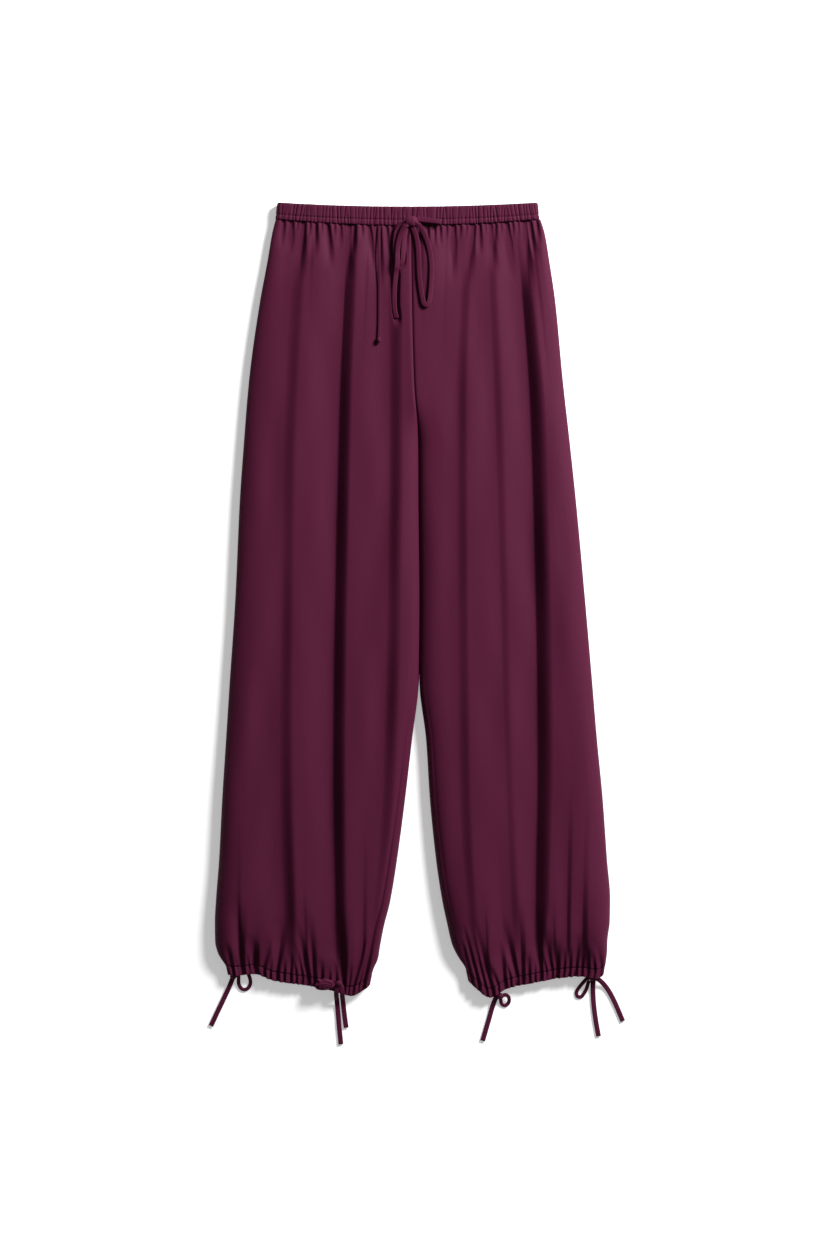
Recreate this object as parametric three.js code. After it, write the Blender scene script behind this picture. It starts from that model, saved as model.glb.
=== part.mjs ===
// Balloon trousers of soft crepe, laid flat and face up on a table.
// The waist points to +Y, the hems to -Y. Left and right are the wearer's, so the left leg is on +X.
// Millimetres. The origin is the middle of the trousers' footprint, at table height.

import * as THREE from "three";

// Cloth and seams
const CLOTH = 1.5;
const BAND_CLOTH = 2.6;
const CASING_CLOTH = 2;
const SEAM_GAP = 0.3;
const SEAM_HEIGHT = 8;
const FRONT_EDGE = SEAM_HEIGHT + SEAM_GAP / 2;
const BACK_EDGE = SEAM_HEIGHT - SEAM_GAP / 2;
const LEAST_COVER = 0.3;

// Waistband: an elastic channel, lower in the middle than at its ends
const WAIST = {
  centreX: -6.5,
  halfWidthTop: 170,
  halfWidthSeam: 172.3,
  topY: 516,
  topSag: 5.4,
  seamY: 494.5,
  seamSag: 8,
  thickness: 13.6,
  gathers: 76,
  gatherDepth: 1.1,
};

// Legs
const CROTCH_Y = 201;
const CROTCH_EASE = 61;
const PANEL_TOP_Y = 491;
const PANEL_FOOT_Y = -476;
const WAIST_BEND = 90;
const HEM_BEND = 170;
const BACK_ROLL = 12;
const EDGE_SHARES = [0, 0.07, 0.3, 0.62];
const RIM_SHARES = [0, 0.12, 0.45, 1];
const CASING_HEIGHT = 11;
const CASING_TUCK = 0.975;

// Strings: flat tubes of the same cloth
const STRING_WIDTH = 6.4;
const LOOP_WIDTH = 4.8;
const THIN_WIDTH = 3.6;
const STRING_FLATNESS = 0.35;
const STRING_SIDES = 8;
const KNOT_DETAIL = 1;

const CLOTH_COLOUR = 0x642644;
const TRIM_COLOUR = 0x5a2240;
const STRING_COLOUR = 0x6a2c4c;

/** Rows of a table as objects whose keys are the column names. */
function table(columns, rows) {
  return rows.map((row) => Object.fromEntries(columns.map((name, index) => [name, row[index]])));
}

// Outline from waist to hem. Above the crotch both inner columns are the centre seam. Crown is the
// height of the front between its folds, and roll the width over which it rounds down to a seam.
const OUTLINE = table(
  ["y", "rightOuter", "rightInner", "leftInner", "leftOuter", "crown", "roll"],
  [
    [491, -178, -2, -2, 166.5, 14.2, 9],
    [473, -182.5, -1.7, -1.7, 172, 15.5, 13],
    [442, -188, -1.3, -1.3, 177.5, 17.5, 20],
    [390, -198, -0.6, -0.6, 185.5, 19.5, 28],
    [286, -212.5, 2, 2, 195.5, 21, 34],
    [201, -219.5, 8, 8, 205, 21.5, 34],
    [130, -224.5, 6.8, 9.6, 212.5, 22, 34],
    [0, -230.5, 6.8, 11.5, 224.5, 22.5, 34],
    [-104, -237.5, 7, 12.5, 233.5, 23, 34],
    [-182, -242.5, -0.5, 17.5, 240, 24, 34],
    [-260, -247.5, -9.5, 22.5, 247.5, 25, 34],
    [-338, -251.5, -20, 30.5, 253, 26.5, 34],
    [-390, -255.5, -29, 38.5, 257, 27.5, 33],
    [-420, -257, -37, 45, 256.5, 27, 30],
    [-445, -256.6, -42, 51, 253.5, 24.5, 26],
    [-460, -253, -44.5, 58, 253, 21.5, 20],
    [-476, -243, -52, 69, 251, 17.5, 13],
  ],
);

// Folds of each front, from the side seam inwards on the right leg and outwards on the left. The x
// columns say where a fold runs at five heights, the deep columns how far it sinks at eight.
const FOLD_HEIGHTS = {
  waist: 484,
  yoke: 390,
  thigh: 234,
  knee: 0,
  calf: -208,
  shin: -364,
  bulb: -430,
  hem: -476,
};
const FOLD_PLACES = ["waist", "thigh", "calf", "bulb", "hem"];
const FOLD_COLUMNS = [
  "waistX", "thighX", "calfX", "bulbX", "hemX", "waistDeep", "yokeDeep", "thighDeep", "kneeDeep",
  "calfDeep", "shinDeep", "bulbDeep", "hemDeep", "width",
];
const FRONT_FOLDS = {
  right: table(FOLD_COLUMNS, [
    [-171, -202, -223, -223, -218, 2.5, 0.5, 0, 0, 0, 2.5, 4, 3.5, 7],
    [-158, -180, -196, -199, -198, 2.5, 1, 0, 0, 0, 0.5, 2, 3.5, 6],
    [-151, -169, -180, -177, -171, 2, 0, 0, 0, 0, 0, 2, 4, 5],
    [-143, -158, -164, -157, -146, 5, 6, 7, 8, 9, 11, 9, 4.5, 18],
    [-127, -135, -141, -136, -133, 3, 1.5, 0, 0, 0, 2, 6, 5, 7],
    [-107, -112, -118, -108, -111, 3, 2, 0.5, 0, 0, 0, 2.5, 4, 6],
    [-77, -88, -95.5, -91.5, -90, 5, 9, 11, 12, 12, 12, 11, 5, 17],
    [-55, -64, -77, -76, -79, 3, 2, 0, 0, 0, 0, 2, 4, 6],
    [-43.5, -46, -58, -61, -69, 3, 2, 0.5, 0, 0, 4, 6, 4, 7],
    [-25, -24, -30.5, -48, -60, 4, 6, 7, 7, 8, 7, 4, 3, 15],
  ]),
  left: table(FOLD_COLUMNS, [
    [13.7, 15.6, 29, 55, 75, 3, 1, 0, 0, 0, 1.5, 3, 3, 6],
    [28, 28, 41, 63.5, 83, 2.5, 0.5, 0, 0, 0, 0, 2.5, 4, 6],
    [47.5, 42, 53, 71.5, 92, 3.5, 2.5, 0.5, 0, 0, 0, 1.5, 4, 7],
    [73.5, 64.4, 67, 81, 101, 5, 7, 6, 5, 5, 5, 4, 4, 17],
    [86, 90.4, 94, 98.5, 110, 3, 1, 0, 0, 0, 1, 5, 5, 6],
    [94.5, 102, 111, 121, 124, 1.5, 0.5, 0, 0, 0, 3, 5, 4, 6],
    [103, 113.8, 126.8, 137, 140, 5, 7, 6, 6, 6, 8, 9, 5, 14],
    [123, 137, 149, 152, 154, 3.5, 2, 0, 0, 0, 2, 2.5, 3, 6],
    [142, 160.6, 169.7, 167, 170, 6, 10, 12, 12.5, 12.5, 12, 9, 5, 17],
    [150.5, 174, 188, 185, 188, 3, 1, 0, 0, 0, 0, 3, 5, 6],
    [156.5, 183, 206, 203, 205, 2.5, 1.5, 0, 0, 0, 3, 4.5, 3.5, 7],
    [162, 191.5, 227, 223, 224, 1.5, 0.5, 0, 0, 0, 2, 4, 4, 7],
  ]),
};

// Gathers of each back: shares of the way across it, deep only where waistband and casing draw it in
const BACK_GATHERS = [0.16, 0.33, 0.48, 0.67, 0.84];
const BACK_GATHER_WIDTH = 7;
const BACK_DEPTHS = table(
  ["y", "deep"],
  [[491, 0.9], [470, 0.8], [390, 0], [-390, 0], [-445, 0.7], [-476, 0.9]],
);

// Bottom edge of each hem, from the wearer's right to left
const HEM_LINES = {
  right: table(["x", "y"], [
    [-243, -486], [-229, -487.5], [-206, -485.5], [-179, -494.5], [-137, -500.5], [-102, -507.5],
    [-80, -514], [-59, -503], [-50, -493],
  ]),
  left: table(["x", "y"], [
    [68, -489], [80, -502], [101, -516], [123, -504.5], [163, -496], [193, -490.5], [219, -488.5],
    [240, -491], [252, -484],
  ]),
};

// Waist drawstring and hem ties: each route's points are the middle of a flat string where it lies
const STRINGS = [
  {
    name: "waist_loop_left",
    width: STRING_WIDTH,
    steps: 22,
    route: [
      [-10.9, 488.6, 16.4], [-16.5, 485.5, 14.8], [-20.6, 478, 13.7], [-22.4, 466, 13.9], [-22.4, 453, 14.7],
      [-21.6, 445, 15.4], [-19.8, 438.4, 16], [-16.4, 436.2, 16.5], [-13.2, 439.6, 16.9], [-12.2, 447, 17],
      [-11.8, 456, 16.8], [-10.2, 470, 16.1], [-7.8, 484.8, 16.4],
    ],
  },
  {
    name: "waist_loop_hanging",
    width: STRING_WIDTH,
    steps: 36,
    route: [
      [8.2, 486.4, 17], [13, 479.5, 15.6], [18.5, 467, 16], [22.8, 451, 17.1], [24.8, 433, 18.3],
      [24.6, 415, 19.3], [23.6, 400, 20], [22.6, 391, 20.4], [20.9, 384.6, 20.7], [17.8, 382, 20.8],
      [14.7, 384.6, 20.6], [13, 391, 20.2], [11, 402, 19.9], [8.9, 420, 19.3], [8, 440, 18.4],
      [7, 457, 17.4], [5, 471, 16.4], [0.6, 483, 16.4],
    ],
  },
  {
    name: "waist_loop_short",
    width: STRING_WIDTH,
    steps: 16,
    route: [
      [8.2, 493.6, 17.8], [20, 492.4, 17.8], [32.4, 491.1, 17.7], [36.3, 490.7, 17.2], [37.8, 490.5, 16.2],
      [36.3, 490.7, 15.2], [32.4, 491.1, 14.7], [20, 492.4, 14.7], [9.6, 493.4, 14.8],
    ],
  },
  {
    name: "waist_tail_left",
    width: STRING_WIDTH,
    steps: 16,
    route: [
      [-9.1, 485.4, 19.4], [-14.5, 476, 17.8], [-18, 464, 17], [-19.4, 452, 17.4], [-19.6, 441, 19],
      [-20.2, 432, 18.9], [-21.2, 424.5, 16.8], [-23, 407, 15.8], [-23.6, 390, 15.9], [-22.8, 375, 16.2],
      [-20.6, 365.5, 16.9],
    ],
  },
  {
    name: "waist_tail_thin",
    width: THIN_WIDTH,
    steps: 14,
    route: [
      [-43.2, 486, 11.6], [-43.5, 470, 12.6], [-43.5, 450, 14.1], [-43.2, 420, 15.7], [-43, 390, 17],
      [-43, 360, 17.8], [-43.4, 341.2, 18.6],
    ],
  },
  {
    name: "tie_right_outer_loop",
    width: LOOP_WIDTH,
    steps: 14,
    route: [
      [-226, -487.6, 6.6], [-226.4, -494, 3.4], [-226.2, -500, 1.5], [-223.2, -505.6, 1.1],
      [-218.6, -507.4, 1.1], [-214, -505.2, 1.1], [-211.2, -499.6, 1.4], [-211.4, -493.4, 3.2],
      [-213.4, -486.4, 6.4],
    ],
  },
  {
    name: "tie_right_outer_tail",
    width: STRING_WIDTH,
    steps: 7,
    route: [
      [-234.6, -493.7, 5.4], [-238.3, -503, 2.5], [-242.4, -512, 1.4], [-248, -524, 1.3], [-254, -536.5, 1.3],
      [-259.6, -548.6, 1.3], [-262.4, -554.6, 1.3],
    ],
  },
  {
    name: "tie_right_inner_tail_long",
    width: STRING_WIDTH,
    steps: 11,
    route: [
      [-98.6, -502.6, 16.4], [-98.8, -508.6, 15.2], [-98.8, -514.6, 11.8], [-98.4, -519.6, 6],
      [-98, -526, 2.4], [-97.2, -535, 1.3], [-95.6, -554, 1.3], [-93.2, -578.5, 1.3],
    ],
  },
  {
    name: "tie_right_inner_tail_short",
    width: STRING_WIDTH,
    steps: 9,
    route: [
      [-91.8, -502.2, 16.2], [-91.2, -510, 14.6], [-91, -516, 11], [-90.6, -521.2, 5.6], [-90, -527.6, 2.2],
      [-89, -537, 1.3], [-86.4, -557, 1.3],
    ],
  },
  {
    name: "tie_left_inner_loop",
    width: LOOP_WIDTH,
    steps: 11,
    route: [
      [121.2, -513.2, 7], [124.6, -515.8, 5], [125.8, -520.4, 3], [124.6, -525.2, 1.5], [120.8, -528, 1.1],
      [116.8, -526.8, 1.1], [115.1, -523, 2.2], [114.7, -519.8, 4],
    ],
  },
  {
    name: "tie_left_inner_tail",
    width: STRING_WIDTH,
    steps: 7,
    route: [
      [108.4, -517.2, 5.4], [105.2, -526, 2.4], [102.8, -534, 1.4], [99.6, -545.6, 1.3], [95.6, -559.5, 1.3],
      [91.4, -574, 1.3],
    ],
  },
  {
    name: "tie_left_outer_loop",
    width: LOOP_WIDTH,
    steps: 14,
    route: [
      [226.9, -491.8, 6.6], [221.9, -497.8, 4.6], [217.4, -503.8, 2], [213.6, -510.5, 1.1],
      [214.6, -516, 1.05], [219.4, -516.8, 1.05], [223.4, -512.2, 1.05], [226.6, -505.8, 2],
      [228.6, -497.7, 4.8],
    ],
  },
  {
    name: "tie_left_outer_tail_straight",
    width: STRING_WIDTH,
    steps: 8,
    route: [
      [234.8, -496.5, 4.9], [234.9, -506.5, 2.2], [235.2, -514, 1.35], [236, -526.5, 1.3], [238.6, -547, 1.3],
      [242.3, -568, 1.3],
    ],
  },
  {
    name: "tie_left_outer_tail_curved",
    width: STRING_WIDTH,
    steps: 9,
    route: [
      [240.4, -492.2, 7.4], [245.2, -496.2, 5], [250.3, -501.6, 2.4], [256.5, -510.5, 1.35],
      [263.3, -523.6, 1.3], [269, -536.6, 1.3], [273.9, -548.4, 1.3],
    ],
  },
];

// Knots: the middle and half sizes of each
const KNOTS = [
  { name: "waist_knot", centre: [-1.3, 490.8, 17.9], half: [9, 7, 4] },
  { name: "waist_tail_thin_knot", centre: [-43.5, 336.9, 19.8], half: [3.2, 4.2, 2.4] },
  { name: "tie_right_outer_knot", centre: [-233, -488.9, 7.4], half: [4.5, 4.3, 3.9] },
  { name: "tie_right_inner_knot", centre: [-95.6, -497.4, 16.9], half: [4.8, 3.8, 3.6] },
  { name: "tie_right_inner_bow", centre: [-114, -498.4, 17.7], half: [13.6, 8, 3.4] },
  { name: "tie_left_inner_knot", centre: [114.5, -514.8, 7], half: [4.5, 3.8, 3.6] },
  { name: "tie_left_outer_knot", centre: [233.4, -491.1, 6.6], half: [4.5, 4.3, 3.8] },
];

// Heights at which the panels have a row of points
const PANEL_ROWS = [
  491, 478, 456, 428, 390, 330, 262, 222, 201, 150, 52, -52, -156, -260, -338, -390, -420, -445, -460,
  -476,
];

/** Value of one column at a place along a table, on a smooth curve that never overshoots its rows. */
function alongTable(rows, key, column, place) {
  const direction = Math.sign(rows[1][key] - rows[0][key]);
  const last = rows.length - 1;
  const steps = rows.map((row) => (row[key] - place) * direction);
  if (steps[0] >= 0) {
    return rows[0][column];
  }
  if (steps[last] <= 0) {
    return rows[last][column];
  }
  const next = steps.findIndex((step) => step > 0);
  const slope = (i) => (rows[i + 1][column] - rows[i][column]) / (rows[i + 1][key] - rows[i][key]);
  const tangent = (i) => {
    if (i === 0 || i === last) {
      return slope(Math.min(i, last - 1));
    }
    const before = slope(i - 1);
    const after = slope(i);
    return before * after <= 0 ? 0 : (2 * before * after) / (before + after);
  };
  const from = rows[next - 1];
  const span = rows[next][key] - from[key];
  const t = (place - from[key]) / span;
  const rise = rows[next][column] - from[column];
  const startLean = tangent(next - 1) * span;
  const endLean = tangent(next) * span;
  const bend = startLean + endLean - 2 * rise;
  return from[column] + t * (startLean + t * (rise - startLean + (t - 1) * bend));
}

/** Height of a quarter-round edge, from 0 at the edge to 1 at the width of its roll. */
function quarterRound(distance, roll) {
  const rest = 1 - THREE.MathUtils.clamp(distance / roll, 0, 1);
  return Math.sqrt(1 - rest * rest);
}

/** Shape of one fold across its width, 1 at its bottom. */
function trough(distance, width) {
  return (1 + (distance / width) ** 2) ** -1.5;
}

/** Line of the waistband's lower seam. */
function waistSeam(x) {
  const share = (x - WAIST.centreX) / WAIST.halfWidthSeam;
  return WAIST.seamY - WAIST.seamSag * (1 - share * share);
}

/** Line of the waistband's upper edge. */
function waistTop(x) {
  const share = (x - WAIST.centreX) / WAIST.halfWidthTop;
  return WAIST.topY - WAIST.topSag * (1 - share * share);
}

/** Line of a hem's lower edge. */
function hemLine(leg, x) {
  return alongTable(HEM_LINES[leg], "x", "y", x);
}

/** Line of the seam between a panel and its hem casing. */
function casingSeam(leg, x) {
  return hemLine(leg, x) + CASING_HEIGHT;
}

/** How far the inner edge has come down from the centre seam to the inseam, 0 to 1. */
function crotchDrop(y) {
  return THREE.MathUtils.smoothstep(-y, -CROTCH_Y - CROTCH_EASE, -CROTCH_Y);
}

/** Whether a row lies above the crotch, where a panel's inner edge meets its twin on the other leg. */
function isCentreSeam(row) {
  return row > CROTCH_Y;
}

/** Where a nominal row really runs, bent to the waistband's seam and to the casing's. */
function rowLine(leg, row, x) {
  const toWaist = THREE.MathUtils.smoothstep(row, PANEL_TOP_Y - WAIST_BEND, PANEL_TOP_Y);
  const toHem = THREE.MathUtils.smoothstep(-row, -PANEL_FOOT_Y - HEM_BEND, -PANEL_FOOT_Y);
  const waistShift = waistSeam(x) - SEAM_GAP / 2 - PANEL_TOP_Y;
  const hemShift = casingSeam(leg, x) + SEAM_GAP / 2 - PANEL_FOOT_Y;
  return row + toWaist * waistShift + toHem * hemShift;
}

/** Outline of one leg at a row: its low and high x, which of them is the inner edge, and its fullness. */
function legAt(leg, row) {
  const read = (column) => alongTable(OUTLINE, "y", column, row);
  const outer = read(`${leg}Outer`);
  const side = leg === "left" ? 1 : -1;
  const centreSeam = (read("leftInner") + read("rightInner")) / 2;
  const inner = (isCentreSeam(row) ? centreSeam : read(`${leg}Inner`)) + (side * SEAM_GAP) / 2;
  return { side, outer, inner, crown: read("crown"), roll: read("roll"), drop: crotchDrop(row) };
}

/** One fold of a front at a row: its place and its depth. */
function foldAt(fold, row) {
  const places = FOLD_PLACES.map((name) => ({ y: FOLD_HEIGHTS[name], value: fold[`${name}X`] }));
  const depths = Object.entries(FOLD_HEIGHTS).map(([name, y]) => ({ y, value: fold[`${name}Deep`] }));
  return {
    x: alongTable(places, "y", "value", row),
    deep: alongTable(depths, "y", "value", row),
    width: fold.width,
  };
}

/** Height of a front's outer face at x, for a row given by its outline and folds. */
function frontHeight(shape, folds, x) {
  const outerRise = quarterRound(Math.abs(shape.outer - x), shape.roll);
  const innerRise = 1 - shape.drop * (1 - quarterRound(Math.abs(x - shape.inner), shape.roll));
  const rise = outerRise * innerRise;
  const sunk = folds.reduce((sum, fold) => sum + fold.deep * trough(x - fold.x, fold.width), 0);
  const height = FRONT_EDGE + (shape.crown - FRONT_EDGE - sunk) * rise;
  return Math.max(height, FRONT_EDGE + (CLOTH + LEAST_COVER) * rise);
}

/** Places across a front at a row: its edges, each fold's bottom and the crests between them. */
function frontColumns(shape, folds) {
  const low = Math.min(shape.outer, shape.inner);
  const high = Math.max(shape.outer, shape.inner);
  const bottoms = folds.map((fold) => fold.x);
  const first = bottoms[0];
  const last = bottoms[bottoms.length - 1];
  const crests = bottoms.slice(1).map((x, index) => (x + bottoms[index]) / 2);
  return [
    ...EDGE_SHARES.map((share) => low + share * (first - low)),
    ...bottoms.flatMap((x, index) => (index < crests.length ? [x, crests[index]] : [x])),
    ...EDGE_SHARES.map((share) => high + share * (last - high)).reverse(),
  ];
}

/** Height of a back's outer face at x: flat on the table, rounded up at its seams. */
function backHeight(shape, deep, gathers, x) {
  const outerRim = 1 - quarterRound(Math.abs(shape.outer - x), BACK_ROLL);
  const innerRim = shape.drop * (1 - quarterRound(Math.abs(x - shape.inner), BACK_ROLL));
  const lifted = gathers.reduce((sum, at) => sum + deep * trough(x - at, BACK_GATHER_WIDTH), 0);
  const rim = Math.max(outerRim, innerRim);
  return rim * BACK_EDGE + (1 - rim) * lifted;
}

/** Places across a back at a row: its rims, each gather's bottom and the flats between them. */
function backColumns(shape, gathers) {
  const low = Math.min(shape.outer, shape.inner);
  const high = Math.max(shape.outer, shape.inner);
  const flats = gathers.slice(1).map((x, index) => (x + gathers[index]) / 2);
  return [
    ...RIM_SHARES.map((share) => low + share * BACK_ROLL),
    ...gathers.flatMap((x, index) => (index < flats.length ? [x, flats[index]] : [x])),
    ...RIM_SHARES.map((share) => high - share * BACK_ROLL).reverse(),
  ];
}

/** Grid of a panel's outer face, a row of points for each of the panel rows. */
function panelGrid(leg, face) {
  return PANEL_ROWS.map((row) => {
    const shape = legAt(leg, row);
    if (face === "front") {
      const folds = FRONT_FOLDS[leg].map((fold) => foldAt(fold, row));
      return frontColumns(shape, folds).map((x) => {
        const lift = isCentreSeam(row) && x === shape.inner ? CLOTH * shape.drop : 0;
        return new THREE.Vector3(x, rowLine(leg, row, x), frontHeight(shape, folds, x) + lift);
      });
    }
    const deep = alongTable(BACK_DEPTHS, "y", "deep", row);
    const low = Math.min(shape.outer, shape.inner);
    const width = Math.abs(shape.outer - shape.inner);
    const gathers = BACK_GATHERS.map((share) => low + share * width);
    return backColumns(shape, gathers).map((x) => {
      const sink = isCentreSeam(row) && x === shape.inner ? CLOTH * shape.drop : 0;
      return new THREE.Vector3(x, rowLine(leg, row, x), backHeight(shape, deep, gathers, x) - sink);
    });
  });
}

/** Direction straight out of a grid at one of its points. */
function gridNormal(grid, r, c) {
  const above = grid[Math.max(r - 1, 0)][c];
  const below = grid[Math.min(r + 1, grid.length - 1)][c];
  const before = grid[r][Math.max(c - 1, 0)];
  const after = grid[r][Math.min(c + 1, grid[r].length - 1)];
  const down = new THREE.Vector3().subVectors(below, above);
  const across = new THREE.Vector3().subVectors(after, before);
  return down.cross(across).normalize();
}

/** Inner face of a panel: each outer point moved in by the cloth's thickness. */
function panelInside(leg, face, outerGrid) {
  const facing = face === "front" ? 1 : -1;
  const side = leg === "left" ? 1 : -1;
  return outerGrid.map((points, r) => {
    const isEnd = r === 0 || r === outerGrid.length - 1;
    const innerEdge = side > 0 ? 0 : points.length - 1;
    return points.map((point, c) => {
      const normal = gridNormal(outerGrid, r, c).multiplyScalar(facing);
      if (c === innerEdge && isCentreSeam(PANEL_ROWS[r])) {
        normal.set(0, 0, facing);
      } else if (c === 0 || c === points.length - 1) {
        normal.set(c === 0 ? -1 : 1, 0, 0);
      } else if (isEnd) {
        normal.setY(0).normalize();
      }
      const moved = point.clone().addScaledVector(normal, -CLOTH);
      if (isEnd) {
        moved.y = rowLine(leg, PANEL_ROWS[r], moved.x);
      }
      return moved;
    });
  });
}

/** Closed solid from points and triangles, turned so that its faces point out. */
function closedSolid(points, triangles) {
  const volume = triangles.reduce((sum, [a, b, c]) => {
    const product = new THREE.Vector3().crossVectors(points[b], points[c]);
    return sum + points[a].dot(product);
  }, 0);
  const turned = volume < 0 ? triangles.map(([a, b, c]) => [a, c, b]) : triangles;
  const geometry = new THREE.BufferGeometry().setFromPoints(points);
  geometry.setIndex(turned.flat());
  geometry.computeVertexNormals();
  return geometry;
}

/** Wall between an outer and an inner grid of the same size, closed along its four edges. */
function wallBetween(outerGrid, innerGrid) {
  const rows = outerGrid.length;
  const columns = outerGrid[0].length;
  const points = [...outerGrid.flat(), ...innerGrid.flat()];
  const inward = rows * columns;
  const at = (r, c) => r * columns + c;
  const triangles = [];
  for (let r = 0; r < rows - 1; r += 1) {
    for (let c = 0; c < columns - 1; c += 1) {
      const [a, b, d, e] = [at(r, c), at(r, c + 1), at(r + 1, c), at(r + 1, c + 1)];
      triangles.push([a, d, b], [b, d, e]);
      triangles.push([a + inward, b + inward, d + inward], [b + inward, e + inward, d + inward]);
    }
  }
  const rim = [
    ...Array.from({ length: rows - 1 }, (_, r) => at(r, 0)),
    ...Array.from({ length: columns - 1 }, (_, c) => at(rows - 1, c)),
    ...Array.from({ length: rows - 1 }, (_, r) => at(rows - 1 - r, columns - 1)),
    ...Array.from({ length: columns - 1 }, (_, c) => at(0, columns - 1 - c)),
  ];
  rim.forEach((p, index) => {
    const q = rim[(index + 1) % rim.length];
    triangles.push([q, p, p + inward], [q, p + inward, q + inward]);
  });
  return closedSolid(points, triangles);
}

/** Ring of cloth through closed loops of points, the last loop joined to the first. */
function ringThrough(loops) {
  const around = loops[0].length;
  const triangles = [];
  loops.forEach((loop, k) => {
    const nextLoop = (k + 1) % loops.length;
    for (let i = 0; i < around; i += 1) {
      const j = (i + 1) % around;
      const [a, b] = [k * around + i, k * around + j];
      const [c, d] = [nextLoop * around + i, nextLoop * around + j];
      triangles.push([a, b, c], [b, d, c]);
    }
  });
  return closedSolid(loops.flat(), triangles);
}

/** Point and outward direction at a share of the way round a flat ring with round ends. */
function stadium(share, halfWidth, thickness) {
  const radius = thickness / 2;
  const straight = 2 * (halfWidth - radius);
  const arc = Math.PI * radius;
  const length = share * 2 * (straight + arc);
  const half = length >= straight + arc ? 1 : 0;
  const along = length - half * (straight + arc);
  const turn = half ? -1 : 1;
  const angle = Math.max(along - straight, 0) / radius;
  const run = Math.min(along, straight) - straight / 2;
  const out = new THREE.Vector2(Math.sin(angle) * turn, Math.cos(angle) * turn);
  return { x: run * turn + out.x * radius, z: radius + out.y * radius, out };
}

/** Waistband: gathered outside, plain inside, pinched along the line below its string channel. */
function waistbandGeometry() {
  const profile = table(
    ["down", "gather", "pinch", "isInside"],
    [[1, 1, 0.3, 0], [0.76, 0.5, 0.7, 0], [0.4, 1, 0, 0], [0, 0.8, 0.4, 0], [0, 0, 0, 1], [1, 0, 0, 1]],
  );
  const around = WAIST.gathers * 2;
  return ringThrough(
    profile.map(({ down, gather, pinch, isInside }) =>
      Array.from({ length: around }, (_, i) => {
        const halfWidth = THREE.MathUtils.lerp(WAIST.halfWidthTop, WAIST.halfWidthSeam, down);
        const { x, z, out } = stadium(i / around, halfWidth, WAIST.thickness);
        const isBottom = i % 2 === 1;
        const sunk = isInside ? BAND_CLOTH : pinch + (isBottom ? gather * WAIST.gatherDepth : 0);
        const worldX = WAIST.centreX + x - out.x * sunk;
        const seam = waistSeam(worldX) + SEAM_GAP / 2;
        return new THREE.Vector3(
          worldX,
          THREE.MathUtils.lerp(waistTop(worldX), seam, down),
          z - out.y * sunk,
        );
      }),
    ),
  );
}

/** Hem casing: a ring that carries on from the panels' last rows and gathers at its lower edge. */
function hemCasingGeometry(leg) {
  const foot = PANEL_ROWS.length - 1;
  const front = panelGrid(leg, "front")[foot];
  const back = panelGrid(leg, "back")[foot];
  const section = [...front, ...back.slice(1, -1).reverse()].map(({ x, z }) => ({ x, z }));
  section[0].z = SEAM_HEIGHT;
  section[front.length - 1].z = SEAM_HEIGHT;
  const middle = (section[0].x + section[front.length - 1].x) / 2;
  const inside = insideSection(section);
  const profile = table(
    ["down", "narrow", "pinch", "isInside"],
    [[0, 1, 0, 0], [0.5, 0.99, 0.4, 0], [1, CASING_TUCK, 0, 0], [1, CASING_TUCK, 0, 1], [0, 1, 0, 1]],
  );
  return ringThrough(
    profile.map(({ down, narrow, pinch, isInside }) =>
      section.map((_, i) => {
        const { x, z } = isInside ? inside[i] : section[i];
        const worldX = middle + (x - middle) * narrow;
        const top = casingSeam(leg, worldX) - SEAM_GAP / 2;
        const y = THREE.MathUtils.lerp(top, hemLine(leg, worldX), down);
        return new THREE.Vector3(worldX, y, Math.max(z - pinch, isInside ? z : 0));
      }),
    ),
  );
}

/** Section of a ring moved in by the casing's thickness. */
function insideSection(section) {
  const count = section.length;
  return section.map((point, i) => {
    const before = section[(i + count - 1) % count];
    const after = section[(i + 1) % count];
    const along = new THREE.Vector2(after.x - before.x, after.z - before.z).normalize();
    return { x: point.x + along.y * CASING_CLOTH, z: point.z - along.x * CASING_CLOTH };
  });
}

const clothMaterial = new THREE.MeshStandardMaterial({ color: CLOTH_COLOUR, roughness: 0.62 });
const trimMaterial = new THREE.MeshStandardMaterial({ color: TRIM_COLOUR, roughness: 0.66 });
const stringMaterial = new THREE.MeshStandardMaterial({ color: STRING_COLOUR, roughness: 0.6 });

/** Named mesh of one piece. */
function piece(name, geometry, material) {
  const mesh = new THREE.Mesh(geometry, material);
  mesh.name = name;
  return mesh;
}

/** One panel of cloth. */
function panel(leg, face) {
  const outerGrid = panelGrid(leg, face);
  const wall = wallBetween(outerGrid, panelInside(leg, face, outerGrid));
  return piece(`${face}_panel_${leg}`, wall, clothMaterial);
}

/** One string: a flat tube along its route. */
function string({ name, width, steps, route }) {
  const path = new THREE.CatmullRomCurve3(
    route.map(([x, y, z]) => new THREE.Vector3(x, y, z / STRING_FLATNESS)),
    false,
    "centripetal",
  );
  const section = new THREE.Shape(
    Array.from({ length: STRING_SIDES }, (_, i) => {
      const angle = (2 * Math.PI * (i + 0.5)) / STRING_SIDES;
      return new THREE.Vector2(Math.cos(angle), Math.sin(angle)).multiplyScalar(width / 2);
    }),
  );
  const geometry = new THREE.ExtrudeGeometry(section, { steps, extrudePath: path });
  geometry.scale(1, 1, STRING_FLATNESS);
  return piece(name, geometry, stringMaterial);
}

/** One knot, a flattened ball. */
function knot({ name, centre, half }) {
  const mesh = piece(name, new THREE.IcosahedronGeometry(1, KNOT_DETAIL).scale(...half), stringMaterial);
  mesh.position.set(...centre);
  return mesh;
}

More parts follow.
